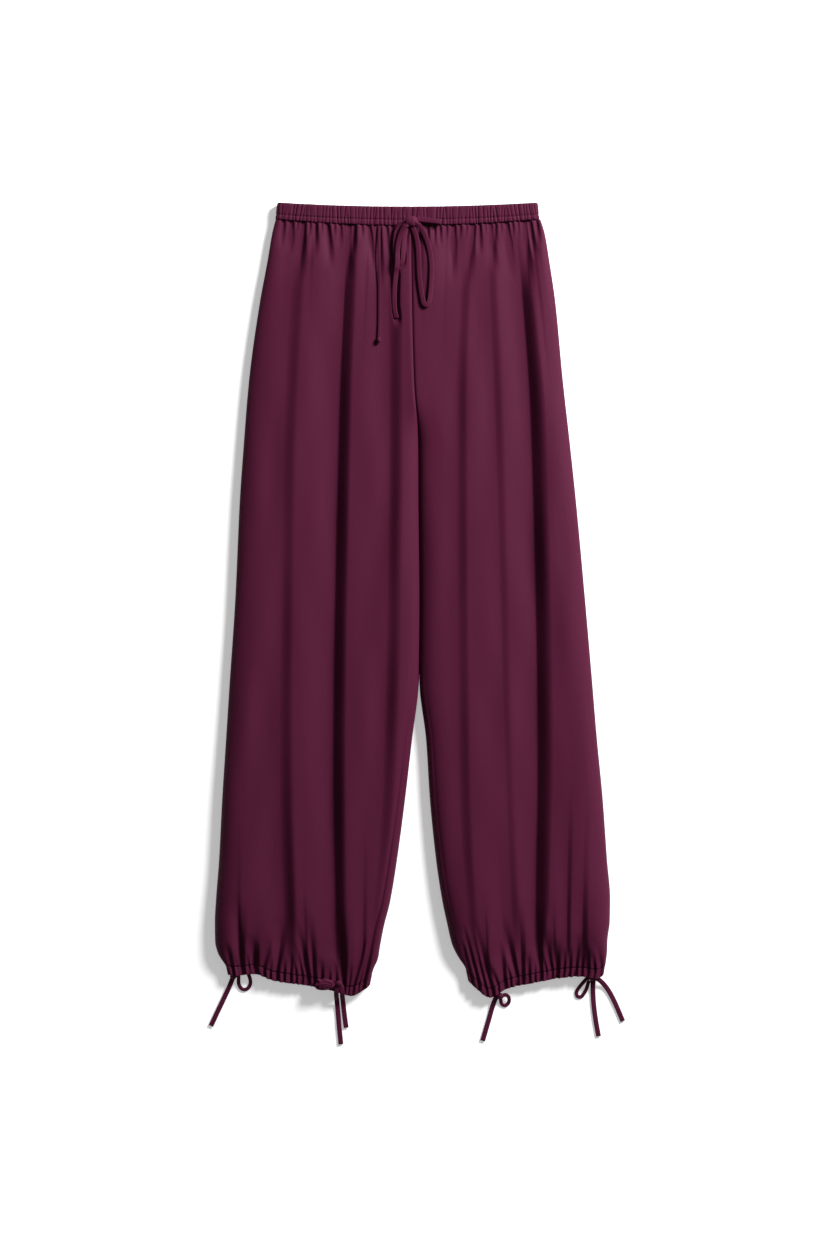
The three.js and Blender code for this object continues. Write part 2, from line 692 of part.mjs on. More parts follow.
const group = new THREE.Group();
for (const leg of ["left", "right"]) {
  group.add(panel(leg, "front"));
  group.add(panel(leg, "back"));
  group.add(piece(`hem_casing_${leg}`, hemCasingGeometry(leg), trimMaterial));
}
group.add(piece("waistband", waistbandGeometry(), trimMaterial));
STRINGS.forEach((entry) => group.add(string(entry)));
KNOTS.forEach((entry) => group.add(knot(entry)));

export default group;
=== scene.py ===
"""Balloon trousers of soft plum crepe, laid flat and face up.

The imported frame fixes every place: +Y to the waist, +X to the wearer's left, +Z up out of the front, and
the origin on the surface that the trousers lie on. Pattern lines, folds and routes are tables in
millimetres, and points turn into metres once, where a mesh or a cord is made from them.
"""

from __future__ import annotations

import logging
import math
from dataclasses import dataclass
from enum import Enum
from typing import Iterable, Sequence

import bmesh
import bpy
import numpy as np
from mathutils import Matrix, Vector

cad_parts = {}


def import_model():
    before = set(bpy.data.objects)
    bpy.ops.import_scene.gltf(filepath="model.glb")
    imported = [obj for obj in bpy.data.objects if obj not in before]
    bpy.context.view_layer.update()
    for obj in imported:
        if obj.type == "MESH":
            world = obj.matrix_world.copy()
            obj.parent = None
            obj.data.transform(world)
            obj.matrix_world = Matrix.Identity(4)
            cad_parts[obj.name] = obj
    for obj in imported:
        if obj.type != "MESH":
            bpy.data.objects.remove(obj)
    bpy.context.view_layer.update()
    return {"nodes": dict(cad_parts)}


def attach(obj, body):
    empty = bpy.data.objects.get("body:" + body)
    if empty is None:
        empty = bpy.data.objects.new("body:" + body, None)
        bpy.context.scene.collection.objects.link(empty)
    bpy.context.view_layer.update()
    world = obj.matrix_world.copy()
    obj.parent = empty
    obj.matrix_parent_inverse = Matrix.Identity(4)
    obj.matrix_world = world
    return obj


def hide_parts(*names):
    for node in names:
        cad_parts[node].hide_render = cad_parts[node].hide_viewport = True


LOG = logging.getLogger("balloon_trousers")
Point = tuple[float, float, float]
Grid = np.ndarray

MM = 0.001
UP = np.array([0.0, 0.0, 1.0])
BODY = "root"


class Slot(Enum):
    """Material slots of the trousers."""

    CLOTH = "cloth"
    TRIM = "gathered_trim"
    STRING = "string"


class Leg(Enum):
    """The wearer's legs, with the side of X on which each lies."""

    LEFT = 1
    RIGHT = -1

    @property
    def word(self) -> str:
        """Name of the leg as the CAD nodes spell it."""
        return self.name.lower()


class Face(Enum):
    """The two faces of a leg."""

    FRONT = "front"
    BACK = "back"


# Cloth and seams, in millimetres
SHELL = 0.8
SEAM_GAP = 0.3
SEAM_HEIGHT = 8.0
FRONT_EDGE = SEAM_HEIGHT + SEAM_GAP / 2
BACK_EDGE = SEAM_HEIGHT - SEAM_GAP / 2
LEAST_COVER = 1.3

# Legs
CROTCH_Y = 201.0
CROTCH_EASE = 61.0
PANEL_TOP_Y = 491.0
PANEL_FOOT_Y = -476.0
WAIST_BEND = 90.0
HEM_BEND = 170.0
BACK_ROLL = 12.0
BACK_SEAM_SHIFT = 0.7
BACK_LIFT_CAP = 3.6
CENTRE_DIP = 1.6
CENTRE_DIP_WIDTH = 1.8
COVER_BLEND = 1.2

# String sizes
STRING_WIDTH = 6.4
LOOP_WIDTH = 4.8
THIN_WIDTH = 3.6
STRING_THICKNESS_SHARE = 0.33
STRING_FLOOR = 0.1
STRING_REST = 0.25
STRING_SIDE = 1.1
KNOT_REACH = 16.0
TUCK_IN = 3.2
TUCK_SHARE = 0.8


@dataclass(frozen=True)
class Station:
    """Outline of both legs at one height. Above the crotch both inner edges are the centre seam.

    Attributes:
        y: Height of the row.
        right_outer: Side seam of the right leg.
        right_inner: Inner edge of the right leg.
        left_inner: Inner edge of the left leg.
        left_outer: Side seam of the left leg.
        crown: Height of the front between its folds.
        roll: Width over which the front rounds down to a seam.
    """

    y: float
    right_outer: float
    right_inner: float
    left_inner: float
    left_outer: float
    crown: float
    roll: float


OUTLINE = (
    Station(491, -178, -2, -2, 166.5, 14.2, 9),
    Station(473, -182.5, -1.7, -1.7, 172, 15.5, 13),
    Station(442, -188, -1.3, -1.3, 177.5, 17.5, 20),
    Station(390, -198, -0.6, -0.6, 185.5, 19.5, 28),
    Station(286, -212.5, 2, 2, 195.5, 21, 34),
    Station(201, -219.5, 8, 8, 205, 21.5, 34),
    Station(130, -224.5, 8.4, 8.4, 212.5, 22, 34),
    Station(0, -230.5, 9.6, 9.6, 224.5, 22.5, 34),
    Station(-104, -237.5, 8.4, 8.8, 233.5, 23, 34),
    Station(-182, -242.5, -0.5, 17.5, 240, 24, 34),
    Station(-260, -247.5, -9.5, 22.5, 247.5, 25, 34),
    Station(-338, -251.5, -20, 30.5, 253, 26.5, 34),
    Station(-390, -255.5, -29, 38.5, 257, 27.5, 33),
    Station(-420, -257, -37, 45, 256.5, 27, 30),
    Station(-445, -256.6, -42, 51, 253.5, 24.5, 26),
    Station(-460, -253, -44.5, 58, 253, 21.5, 20),
    Station(-476, -243, -52, 69, 251, 17.5, 13),
)

FOLD_PLACE_ROWS = (484.0, 234.0, -208.0, -430.0, -476.0)
FOLD_DEPTH_ROWS = (484.0, 390.0, 234.0, 0.0, -208.0, -364.0, -430.0, -476.0)
WALL_SHARE = 1.2
SLOPE_SHARE = 2.3
WALL_SHIFT = 0.35
MERGE_POWER = 3.0
SEAM_FOLD_CAP = 2.4
OPEN_FOLD_CAP = 40.0
SEAM_EASE = 60.0
WAIST_LIFT = 0.8


@dataclass(frozen=True)
class Fold:
    """A long fold of a front, with a steep rounded wall on its left leg side and a long slope on the other.

    Attributes:
        places: Where its bottom runs at the waist, thigh, calf, bulb and hem.
        depths: How far it sinks at the waist, yoke, thigh, knee, calf, shin, bulb and hem.
        width: Half width of its bottom.
        sharp: How sharp its bottom is, from 0 for a round one to 1 for a crease.
    """

    places: tuple[float, ...]
    depths: tuple[float, ...]
    width: float
    sharp: float = 0.6

    def sunk(self, rows: Grid, x: Grid) -> Grid:
        """How far the fold sinks the cloth.

        Args:
            rows: Nominal rows, one column of them.
            x: Places across each row.

        Returns:
            Depths in millimetres.
        """
        wall = self.width * WALL_SHARE
        away = x - along(FOLD_PLACE_ROWS, self.places, rows) + WALL_SHIFT * wall
        deep = along(FOLD_DEPTH_ROWS, self.depths, rows)
        return deep * draped(away, wall, self.width * SLOPE_SHARE, self.sharp)


FRONT_FOLDS = {
    Leg.RIGHT: (
        Fold((-171, -202, -223, -223, -218), (2.5, 0.5, 0, 0, 0, 2.5, 4, 3.5), 7),
        Fold((-158, -180, -196, -199, -198), (2.5, 1, 0, 0, 0, 0.5, 2, 3.5), 6),
        Fold((-151, -169, -180, -177, -171), (2, 0, 0, 0, 0, 0, 2, 4), 5),
        Fold((-143, -158, -164, -157, -146), (5, 5, 5, 5.5, 7, 10, 9, 4.5), 20, 0.1),
        Fold((-127, -135, -141, -136, -133), (3, 1.5, 0, 0, 0, 2, 6, 5), 7),
        Fold((-107, -112, -118, -108, -111), (3, 2, 0.5, 0, 0, 0, 2.5, 4), 6),
        Fold((-77, -88, -95.5, -91.5, -90), (5, 9, 11, 12, 12, 12, 11, 5), 17, 0.9),
        Fold((-55, -64, -77, -76, -79), (3, 2, 0, 0, 0, 0, 2, 4), 6),
        Fold((-43.5, -46, -58, -61, -69), (3, 2, 0.5, 0, 0, 4, 6, 4), 7),
        Fold((-25, -24, -30.5, -48, -60), (4, 5, 6, 6, 6, 6, 4, 3), 16, 0.15),
    ),
    Leg.LEFT: (
        Fold((13.7, 15.6, 29, 55, 75), (3, 1, 0, 0, 0, 1.5, 3, 3), 6),
        Fold((28, 28, 41, 63.5, 83), (2.5, 0.5, 0, 0, 0, 0, 2.5, 4), 6),
        Fold((47.5, 42, 53, 71.5, 92), (3.5, 2.5, 0.5, 0, 0, 0, 1.5, 4), 7),
        Fold((73.5, 64.4, 67, 81, 101), (5, 6, 5.5, 5, 5, 5, 4, 4), 17, 0.1),
        Fold((86, 90.4, 94, 98.5, 110), (3, 1, 0, 0, 0, 1, 5, 5), 6),
        Fold((94.5, 102, 111, 121, 124), (1.5, 0.5, 0, 0, 0, 3, 5, 4), 6),
        Fold((103, 113.8, 126.8, 137, 140), (5, 6, 6, 6, 6, 8, 9, 5), 16, 0.2),
        Fold((123, 137, 149, 152, 154), (3.5, 2, 0, 0, 0, 2, 2.5, 3), 6),
        Fold((142, 160.6, 169.7, 167, 170), (6, 10, 12, 12.5, 12.5, 12, 9, 5), 17, 0.9),
        Fold((150.5, 174, 188, 185, 188), (3, 1, 0, 0, 0, 0, 3, 5), 6),
        Fold((156.5, 183, 206, 203, 205), (2.5, 1.5, 0, 0, 0, 3, 4.5, 3.5), 7),
        Fold((162, 191.5, 227, 223, 224), (1.5, 0.5, 0, 0, 0, 2, 4, 4), 7),
    ),
}

FADE_POWER = 1.3
GATHER_DEPTH = 1.9
GATHER_LENGTH = 1.35
GATHER_SPREAD = 1.2
GATHER_WALL = 1.7
GATHER_SLOPE = 1.5
GATHER_SHARP = 0.7


@dataclass(frozen=True)
class Gather:
    """A short crease that starts at a seam and dies out in the cloth.

    Attributes:
        x: Where it leaves the seam.
        lean: How far it drifts along X by its end.
        length: How far it runs from the seam.
        deep: Its depth at the seam.
        width: Its half width at the seam, which more than doubles by its end.
    """

    x: float
    lean: float
    length: float
    deep: float
    width: float

    def sunk(self, from_seam: Grid, x: Grid) -> Grid:
        """How far the crease sinks the cloth.

        Args:
            from_seam: Distance of each point from the seam.
            x: Place of each point across the panel.

        Returns:
            Depths in millimetres.
        """
        share = np.clip(from_seam / (self.length * GATHER_LENGTH), 0, 1)
        fade = np.cos(np.pi / 2 * share) ** FADE_POWER
        away = x - self.x - self.lean * share
        width = self.width * (1 + GATHER_SPREAD * share)
        shape = draped(away, GATHER_WALL * width, GATHER_SLOPE * width, GATHER_SHARP)
        return GATHER_DEPTH * self.deep * fade * shape


WAIST_GATHERS = {
    Leg.RIGHT: (
        Gather(-167.2, -3.4, 30, 2.2, 2.6), Gather(-156.9, -1.6, 34, 3, 2.6),
        Gather(-148.5, -1.2, 16, 1.4, 2.2), Gather(-141, -6, 62, 3, 3.4),
        Gather(-132.6, -1, 18, 1.5, 2.2), Gather(-125.2, -1.4, 36, 2.4, 2.6),
        Gather(-117.5, 0.6, 15, 1.3, 2.2), Gather(-110.2, 4.4, 46, 3.2, 2.8),
        Gather(-101.4, 1, 17, 1.3, 2.2), Gather(-93.5, 0.6, 28, 2, 2.4),
        Gather(-87.4, -0.6, 14, 1.2, 2), Gather(-81.4, -2.4, 60, 2.4, 3.4),
        Gather(-74.8, -4, 38, 2.6, 2.6), Gather(-65.6, 1, 17, 1.4, 2.2),
        Gather(-56.2, 6.6, 48, 3.2, 2.8), Gather(-50, 1, 16, 1.3, 2), Gather(-43.6, 1.6, 64, 3.2, 3),
        Gather(-33.7, 6, 44, 2.4, 2.6), Gather(-25.4, 0.4, 70, 2.6, 3), Gather(-14.2, -1, 20, 1.6, 2.4),
        Gather(-7.5, 1, 34, 1.8, 2.6),
    ),
    Leg.LEFT: (
        Gather(9, -1, 24, 1.6, 2.4), Gather(19.5, 1, 30, 1.8, 2.6), Gather(28.7, 0.6, 26, 2, 2.3),
        Gather(35.4, 0.6, 22, 1.8, 2.3), Gather(44.2, -0.6, 18, 1.4, 2.2), Gather(53.6, -1.6, 56, 2.8, 2.8),
        Gather(62, -1, 17, 1.4, 2.2), Gather(70.4, -1, 20, 1.4, 2.2), Gather(79.3, -9, 64, 3.4, 3.4),
        Gather(87.2, 0.8, 34, 2.2, 2.3), Gather(94.8, 0.6, 16, 1.4, 2.1), Gather(101.3, 6, 52, 3, 3),
        Gather(108, -2.4, 30, 2.2, 2.4), Gather(115.2, 1, 17, 1.4, 2.1), Gather(122.3, 8, 58, 3, 3),
        Gather(129.6, 2, 20, 1.5, 2.2), Gather(137, 2.4, 24, 1.6, 2.4), Gather(145.3, 7, 72, 3.4, 3.4),
        Gather(152, 7.6, 40, 2.6, 2.6), Gather(161, 5, 28, 2, 2.4),
    ),
}

HEM_GATHERS = {
    Leg.RIGHT: (
        Gather(-233.9, -7, 26, 2.6, 3), Gather(-227, -3, 16, 1.8, 2.4), Gather(-221, -6, 70, 3.2, 4),
        Gather(-212.6, -1.6, 18, 2, 2.4), Gather(-204, -2.4, 30, 3.6, 3.8), Gather(-193, 11, 34, 2.8, 3),
        Gather(-184.6, 5, 20, 2, 2.4), Gather(-176, 9, 56, 3, 3.4), Gather(-166.8, 2.4, 18, 2, 2.4),
        Gather(-158, 1.6, 26, 2.4, 2.8), Gather(-150.6, -3, 18, 2, 2.4), Gather(-142.8, -9, 40, 2.6, 3),
        Gather(-134.6, -17, 58, 3.2, 3.6), Gather(-126.6, -9, 66, 2.8, 3),
        Gather(-117.4, -1.4, 22, 2.2, 2.6), Gather(-108.2, 2, 18, 2, 2.6),
        Gather(-98.4, -2, 24, 2.4, 2.8), Gather(-88.7, -4, 74, 3.4, 3.6),
        Gather(-82.4, 5, 28, 2.4, 2.6), Gather(-76.7, 19, 52, 3, 3.6), Gather(-69.4, 17, 34, 2.4, 2.8),
        Gather(-63, 20, 66, 2.4, 3.6),
    ),
    Leg.LEFT: (
        Gather(77, -16, 30, 2.2, 3), Gather(86.4, -22, 46, 2.4, 3), Gather(95.6, -22, 56, 2.6, 3.2),
        Gather(103.6, -24, 60, 3, 3.6), Gather(111.6, -12, 28, 2.2, 2.6), Gather(119.6, -8, 54, 3.2, 3.6),
        Gather(127.6, -6, 22, 2.2, 2.4), Gather(136.4, -22, 66, 3.2, 3.8), Gather(143.4, -6, 74, 3, 3.4),
        Gather(151.6, -1.4, 24, 2.2, 2.6), Gather(159.4, 1, 20, 2, 2.4), Gather(167, -7, 72, 3.2, 3.6),
        Gather(174.2, -6, 24, 2.2, 2.6), Gather(181.6, -13, 46, 3, 3.4), Gather(188.8, -2, 30, 3.4, 3.2),
        Gather(196.8, 1, 22, 2.2, 2.6), Gather(204.6, 2, 26, 2.2, 2.6), Gather(212.6, 2.6, 34, 2.6, 2.8),
        Gather(220.2, 1.6, 20, 2, 2.4), Gather(228.4, -2, 26, 2.2, 2.6), Gather(236.8, -3, 20, 2, 2.4),
        Gather(245.4, -6, 30, 2.4, 2.8),
    ),
}

EDGE_LINE_ROWS = (-60.0, -150.0, -260.0, -380.0, -450.0)


@dataclass(frozen=True)
class EdgeLine:
    """A crease that keeps to the inner edge of a leg, where the seam rolls to the front.

    Attributes:
        inset: Distance from the edge at each of the edge line's rows.
        depths: Depth at each of those rows.
        width: Half width.
    """

    inset: tuple[float, ...]
    depths: tuple[float, ...]
    width: float


EDGE_LINES = {
    Leg.RIGHT: EdgeLine((7, 9, 10, 11, 12), (0, 1.4, 2.4, 2.6, 0.6), 2.6),
    Leg.LEFT: EdgeLine((7, 8, 8, 9, 10), (0, 0.5, 0.8, 0.8, 0), 2.6),
}


@dataclass(frozen=True)
class BackFold:
    """A long soft fold of a back, which lifts off the surface.

    Attributes:
        share: Its place as a share of the way across the back.
        drift: How much that share has changed by the hem.
        lifts: How far it lifts at the waist, yoke, thigh, knee, calf, shin, bulb and hem.
        width: Half width of its top.
    """

    share: float
    drift: float
    lifts: tuple[float, ...]
    width: float


BACK_FOLDS = {
    Leg.RIGHT: (
        BackFold(0.16, 0.02, (2.2, 2.2, 1.6, 0.6, 0, 0.6, 2, 2.4), 8),
        BackFold(0.27, -0.02, (1.8, 0.4, 0, 0, 0, 0, 1, 2), 5),
        BackFold(0.36, 0.05, (2.4, 2.6, 2.4, 2, 1.6, 2.2, 2.6, 2.4), 13),
        BackFold(0.47, 0.02, (2, 0.8, 0, 0, 0, 0, 1.2, 2.2), 6),
        BackFold(0.58, -0.03, (2.2, 1.6, 0.8, 0.4, 1, 1.6, 2.2, 2), 9),
        BackFold(0.71, 0.03, (2.4, 2.6, 2.8, 2.4, 2.6, 2.8, 2.6, 2.2), 14),
        BackFold(0.82, 0, (1.6, 0.6, 0, 0, 0, 0.4, 1.4, 2), 6),
        BackFold(0.9, -0.02, (2, 1, 0.4, 0, 0, 0, 0.8, 2), 5),
    ),
    Leg.LEFT: (
        BackFold(0.12, 0.03, (2, 1.2, 0.4, 0, 0, 0.4, 1.4, 2), 6),
        BackFold(0.24, 0.02, (2.4, 2.4, 2.6, 2.6, 2, 1.6, 2.2, 2.2), 13),
        BackFold(0.35, -0.01, (1.8, 0.4, 0, 0, 0, 0, 1, 2), 5),
        BackFold(0.46, 0.04, (2.2, 1.8, 1.2, 0.8, 1.4, 2.2, 2.6, 2.4), 10),
        BackFold(0.57, 0, (2, 0.6, 0, 0, 0, 0, 1.2, 2), 6),
        BackFold(0.68, -0.04, (2.4, 2.6, 2.4, 2.2, 2.4, 2.8, 2.6, 2.2), 14),
        BackFold(0.79, 0.02, (1.8, 0.8, 0.2, 0, 0, 0.2, 1.4, 2), 7),
        BackFold(0.89, -0.01, (2.2, 1.6, 1, 0.4, 0.2, 0.8, 1.8, 2.2), 7),
    ),
}

# Bottom edge of each hem, as places across it and their heights
HEM_LINES = {
    Leg.RIGHT: (
        (-243, -229, -206, -179, -137, -102, -80, -59, -50),
        (-486, -487.5, -485.5, -494.5, -500.5, -507.5, -514, -503, -493),
    ),
    Leg.LEFT: (
        (68, 80, 101, 123, 163, 193, 219, 240, 252),
        (-489, -502, -516, -504.5, -496, -490.5, -488.5, -491, -484),
    ),
}


def along(places: Sequence[float], values: Sequence[float], at: Grid) -> Grid:
    """Value at each place on a smooth curve through a table that never overshoots its rows.

    Args:
        places: Places of the table's rows, rising or falling.
        values: Their values.
        at: Places asked for, held to the table's ends.

    Returns:
        An array shaped as at.
    """
    knots = np.asarray(places, float)
    heights = np.asarray(values, float)
    if knots[0] > knots[-1]:
        knots, heights = knots[::-1], heights[::-1]
    at = np.clip(np.asarray(at, float), knots[0], knots[-1])
    slopes = np.diff(heights) / np.diff(knots)
    leans = np.concatenate([slopes[:1], np.zeros(len(slopes) - 1), slopes[-1:]])
    before, after = slopes[:-1], slopes[1:]
    same = before * after > 0
    leans[1:-1][same] = 2 * before[same] * after[same] / (before[same] + after[same])
    i = np.clip(np.searchsorted(knots, at, side="right") - 1, 0, len(slopes) - 1)
    span = knots[i + 1] - knots[i]
    t = (at - knots[i]) / span
    rise = heights[i + 1] - heights[i]
    start, end = leans[i] * span, leans[i + 1] * span
    return heights[i] + t * (start + t * (rise - start + (t - 1) * (start + end - 2 * rise)))


def trough(away: Grid, width: Grid | float) -> Grid:
    """Shape of a fold across its width, 1 at its bottom."""
    return (1 + (away / width) ** 2) ** -1.5


def draped(away: Grid, wall: Grid | float, slope: Grid | float, sharp: float) -> Grid:
    """Shape of a fold whose rounded wall turns away from the light, 1 at its bottom.

    Args:
        away: Distance from its bottom, positive on the side of the wall.
        wall: Width of the wall.
        slope: Half width of the long slope on the other side.
        sharp: How sharp its bottom is, from 0 to 1.

    Returns:
        Shares of the fold's depth.
    """
    t = np.clip(away / wall, 0, 1)
    crease, bowl = 1 - np.sin(np.pi / 2 * t), 0.5 + 0.5 * np.cos(np.pi * t)
    return np.where(away < 0, trough(away, slope), sharp * crease + (1 - sharp) * bowl)


def merged(depths: Iterable[Grid]) -> Grid:
    """Joins folds that run into each other, so that they get no deeper than the deepest of them."""
    return sum(depth ** MERGE_POWER for depth in depths) ** (1 / MERGE_POWER)


def quarter_round(distance: Grid, roll: Grid | float) -> Grid:
    """Height of a quarter-round edge, 0 at the edge and 1 from the width of its roll."""
    rest = 1 - np.clip(distance / roll, 0, 1)
    return np.sqrt(1 - rest * rest)


def smooth_step(value: Grid, low: float, high: float) -> Grid:
    """Share from 0 at low to 1 at high, level at both ends."""
    t = np.clip((value - low) / (high - low), 0, 1)
    return t * t * (3 - 2 * t)


def soft_floor(height: Grid, least: Grid, blend: Grid) -> Grid:
    """Height held above a least one, with a rounded turn as wide as blend."""
    over = height - least
    return least + (over + np.sqrt(over * over + blend * blend)) / 2


def crowded_shares(count: int, crowding: float) -> Grid:
    """Shares from 0 to 1 that stand closer together near both ends."""
    even = np.linspace(0, 1, count)
    return (1 - crowding) * even + crowding * (0.5 - 0.5 * np.cos(np.pi * even))


@dataclass(frozen=True)
class Undulation:
    """Slow uneven waves that no cloth is without, longer down the leg than across it.

    Attributes:
        seed: Seed of the waves' directions and phases.
        height: Height of all the waves together.
        across: Usual wavelength across the leg.
        down: Usual wavelength down the leg.
        waves: How many there are.
        across_range: Least and greatest wavelength across, as shares of the usual one.
        down_range: The same down the leg.
    """

    seed: int
    height: float
    across: float
    down: float
    waves: int = 14
    across_range: tuple[float, float] = (0.6, 2.2)
    down_range: tuple[float, float] = (0.6, 2.4)

    def at(self, x: Grid, y: Grid) -> Grid:
        """Height of the waves at each point, in millimetres."""
        random = np.random.default_rng(self.seed)
        total = np.zeros(np.broadcast(x, y).shape)
        for _ in range(self.waves):
            turn_x = 2 * np.pi / (self.across * random.uniform(*self.across_range)) * random.choice((-1, 1))
            turn_y = 2 * np.pi / (self.down * random.uniform(*self.down_range))
            total += np.sin(turn_x * x + turn_y * y + random.uniform(0, 2 * np.pi))
        return total * self.height / math.sqrt(self.waves)


# Waistband and casing lines, shared by the panels that meet them
@dataclass(frozen=True)
class WaistLines:
    """Upper edge and lower seam of the waistband, both lower in the middle than at their ends."""

    centre_x: float = -6.5
    half_top: float = 170.0
    half_seam: float = 172.3
    top_y: float = 516.0
    top_sag: float = 5.4
    seam_y: float = 494.5
    seam_sag: float = 8.0

    def seam(self, x: Grid) -> Grid:
        """Line of the lower seam."""
        share = (x - self.centre_x) / self.half_seam
        return self.seam_y - self.seam_sag * (1 - share * share)

    def top(self, x: Grid) -> Grid:
        """Line of the upper edge."""
        share = (x - self.centre_x) / self.half_top
        return self.top_y - self.top_sag * (1 - share * share)


WAIST = WaistLines()
CASING_HEIGHT = 11.0


def hem_line(leg: Leg, x: Grid) -> Grid:
    """Line of a hem's lower edge."""
    return along(*HEM_LINES[leg], x)


@dataclass(frozen=True)
class LegShape:
    """Outline of one leg at a column of rows.

    Attributes:
        outer: Its side seam.
        inner: Its inner edge, which is the centre seam above the crotch.
        crown: Height of the front between its folds.
        roll: Width over which the front rounds down to a seam.
        drop: How far the inner edge has become an edge of its own, from 0 to 1.
        room: Room between the two legs.
    """

    outer: Grid
    inner: Grid
    crown: Grid
    roll: Grid
    drop: Grid
    room: Grid

    @property
    def low(self) -> Grid:
        """Edge with the lower x."""
        return np.minimum(self.outer, self.inner)

    @property
    def high(self) -> Grid:
        """Edge with the higher x."""
        return np.maximum(self.outer, self.inner)


def leg_shape(leg: Leg, rows: Grid) -> LegShape:
    """Reads the outline table for a leg.

    Args:
        leg: Which leg.
        rows: Nominal rows, one column of them.

    Returns:
        The outline at those rows.
    """
    places = [station.y for station in OUTLINE]

    def read(column: str) -> Grid:
        return along(places, [getattr(station, column) for station in OUTLINE], rows)

    centre = (read("left_inner") + read("right_inner")) / 2
    inner = np.where(rows > CROTCH_Y, centre, read(f"{leg.word}_inner"))
    return LegShape(
        outer=read(f"{leg.word}_outer"),
        inner=inner + leg.value * SEAM_GAP / 2,
        crown=read("crown"),
        roll=read("roll"),
        drop=smooth_step(-rows, -CROTCH_Y - CROTCH_EASE, -CROTCH_Y),
        room=read("left_inner") - read("right_inner"),
    )


def real_rows(leg: Leg, rows: Grid, x: Grid) -> Grid:
    """Where nominal rows run, bent to the waistband's seam and to the casing's."""
    to_waist = smooth_step(rows, PANEL_TOP_Y - WAIST_BEND, PANEL_TOP_Y)
    to_hem = smooth_step(-rows, -PANEL_FOOT_Y - HEM_BEND, -PANEL_FOOT_Y)
    waist_shift = WAIST.seam(x) - SEAM_GAP / 2 - PANEL_TOP_Y
    hem_shift = hem_line(leg, x) + CASING_HEIGHT + SEAM_GAP / 2 - PANEL_FOOT_Y
    return rows + to_waist * waist_shift + to_hem * hem_shift


# Mesh making
def linked(name: str, mesh_data: bmesh.types.BMesh) -> bpy.types.Object:
    """Turns a finished bmesh into an object of the scene."""
    mesh = bpy.data.meshes.new(name)
    mesh_data.to_mesh(mesh)
    mesh_data.free()
    item = bpy.data.objects.new(name, mesh)
    bpy.context.scene.collection.objects.link(item)
    return item


def grid_mesh(name: str, grid: Grid, uv: Grid, close_rows: bool = False, close_columns: bool = False,
              cap_ends: bool = False) -> bpy.types.Object:
    """Makes a smooth mesh object from a grid of points.

    Args:
        name: Name of the object.
        grid: Points in millimetres, rows by columns by 3.
        uv: UV in metres, rows by columns by 2.
        close_rows: Whether the last row joins the first.
        close_columns: Whether the last column joins the first.
        cap_ends: Whether the open first and last rows are filled.

    Returns:
        The new object, riding on the body.
    """
    points, corners = np.asarray(grid, float), np.asarray(uv, float)
    if close_rows:
        points = np.concatenate([points, points[:1]])
    if close_columns:
        points = np.concatenate([points, points[:, :1]], axis=1)
    rows, columns = points.shape[:2]
    mesh_data = bmesh.new()
    layer = mesh_data.loops.layers.uv.new("UVMap")
    bmesh.ops.create_grid(mesh_data, x_segments=columns - 1, y_segments=rows - 1, size=1)
    mesh_data.verts.ensure_lookup_table()
    flat = (points * MM).reshape(-1, 3)
    flat_uv = corners.reshape(-1, 2)
    for vertex, co in zip(mesh_data.verts, flat):
        vertex.co = co
    for face in mesh_data.faces:
        face.smooth = True
        for loop in face.loops:
            loop[layer].uv = flat_uv[loop.vert.index]
    if close_rows or close_columns:
        bmesh.ops.remove_doubles(mesh_data, verts=mesh_data.verts, dist=1e-7)
    if cap_ends:
        ends = [edge for edge in mesh_data.edges if edge.is_boundary]
        bmesh.ops.holes_fill(mesh_data, edges=ends, sides=0)
    if close_columns or close_rows:
        bmesh.ops.recalc_face_normals(mesh_data, faces=mesh_data.faces)
    item = linked(name, mesh_data)
    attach(item, BODY)
    return item


def joined(name: str, items: Sequence[bpy.types.Object]) -> bpy.types.Object:
    """Joins loose pieces into one object."""
    mesh_data = bmesh.new()
    for item in items:
        mesh_data.from_mesh(item.data)
        bpy.data.objects.remove(item)
    whole = linked(name, mesh_data)
    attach(whole, BODY)
    return whole


def thicken(item: bpy.types.Object, thickness: float) -> None:
    """Gives an open sheet its thickness on its inner side, in millimetres."""
    solid = item.modifiers.new("Thickness", "SOLIDIFY")
    solid.thickness = thickness * MM
    solid.offset = -1
    solid.use_rim = True


def lengths_along(points: Grid) -> Grid:
    """Running length along a line of points."""
    steps = np.linalg.norm(np.diff(points, axis=0), axis=1)
    return np.concatenate([[0], np.cumsum(steps)])


def headings(path: Grid, closed: bool = False) -> Grid:
    """Unit directions along a line of points, which may join its own start."""
    ahead = np.roll(path, -1, axis=0) - np.roll(path, 1, axis=0) if closed else np.gradient(path, axis=0)
    return ahead / np.linalg.norm(ahead, axis=1)[:, None]


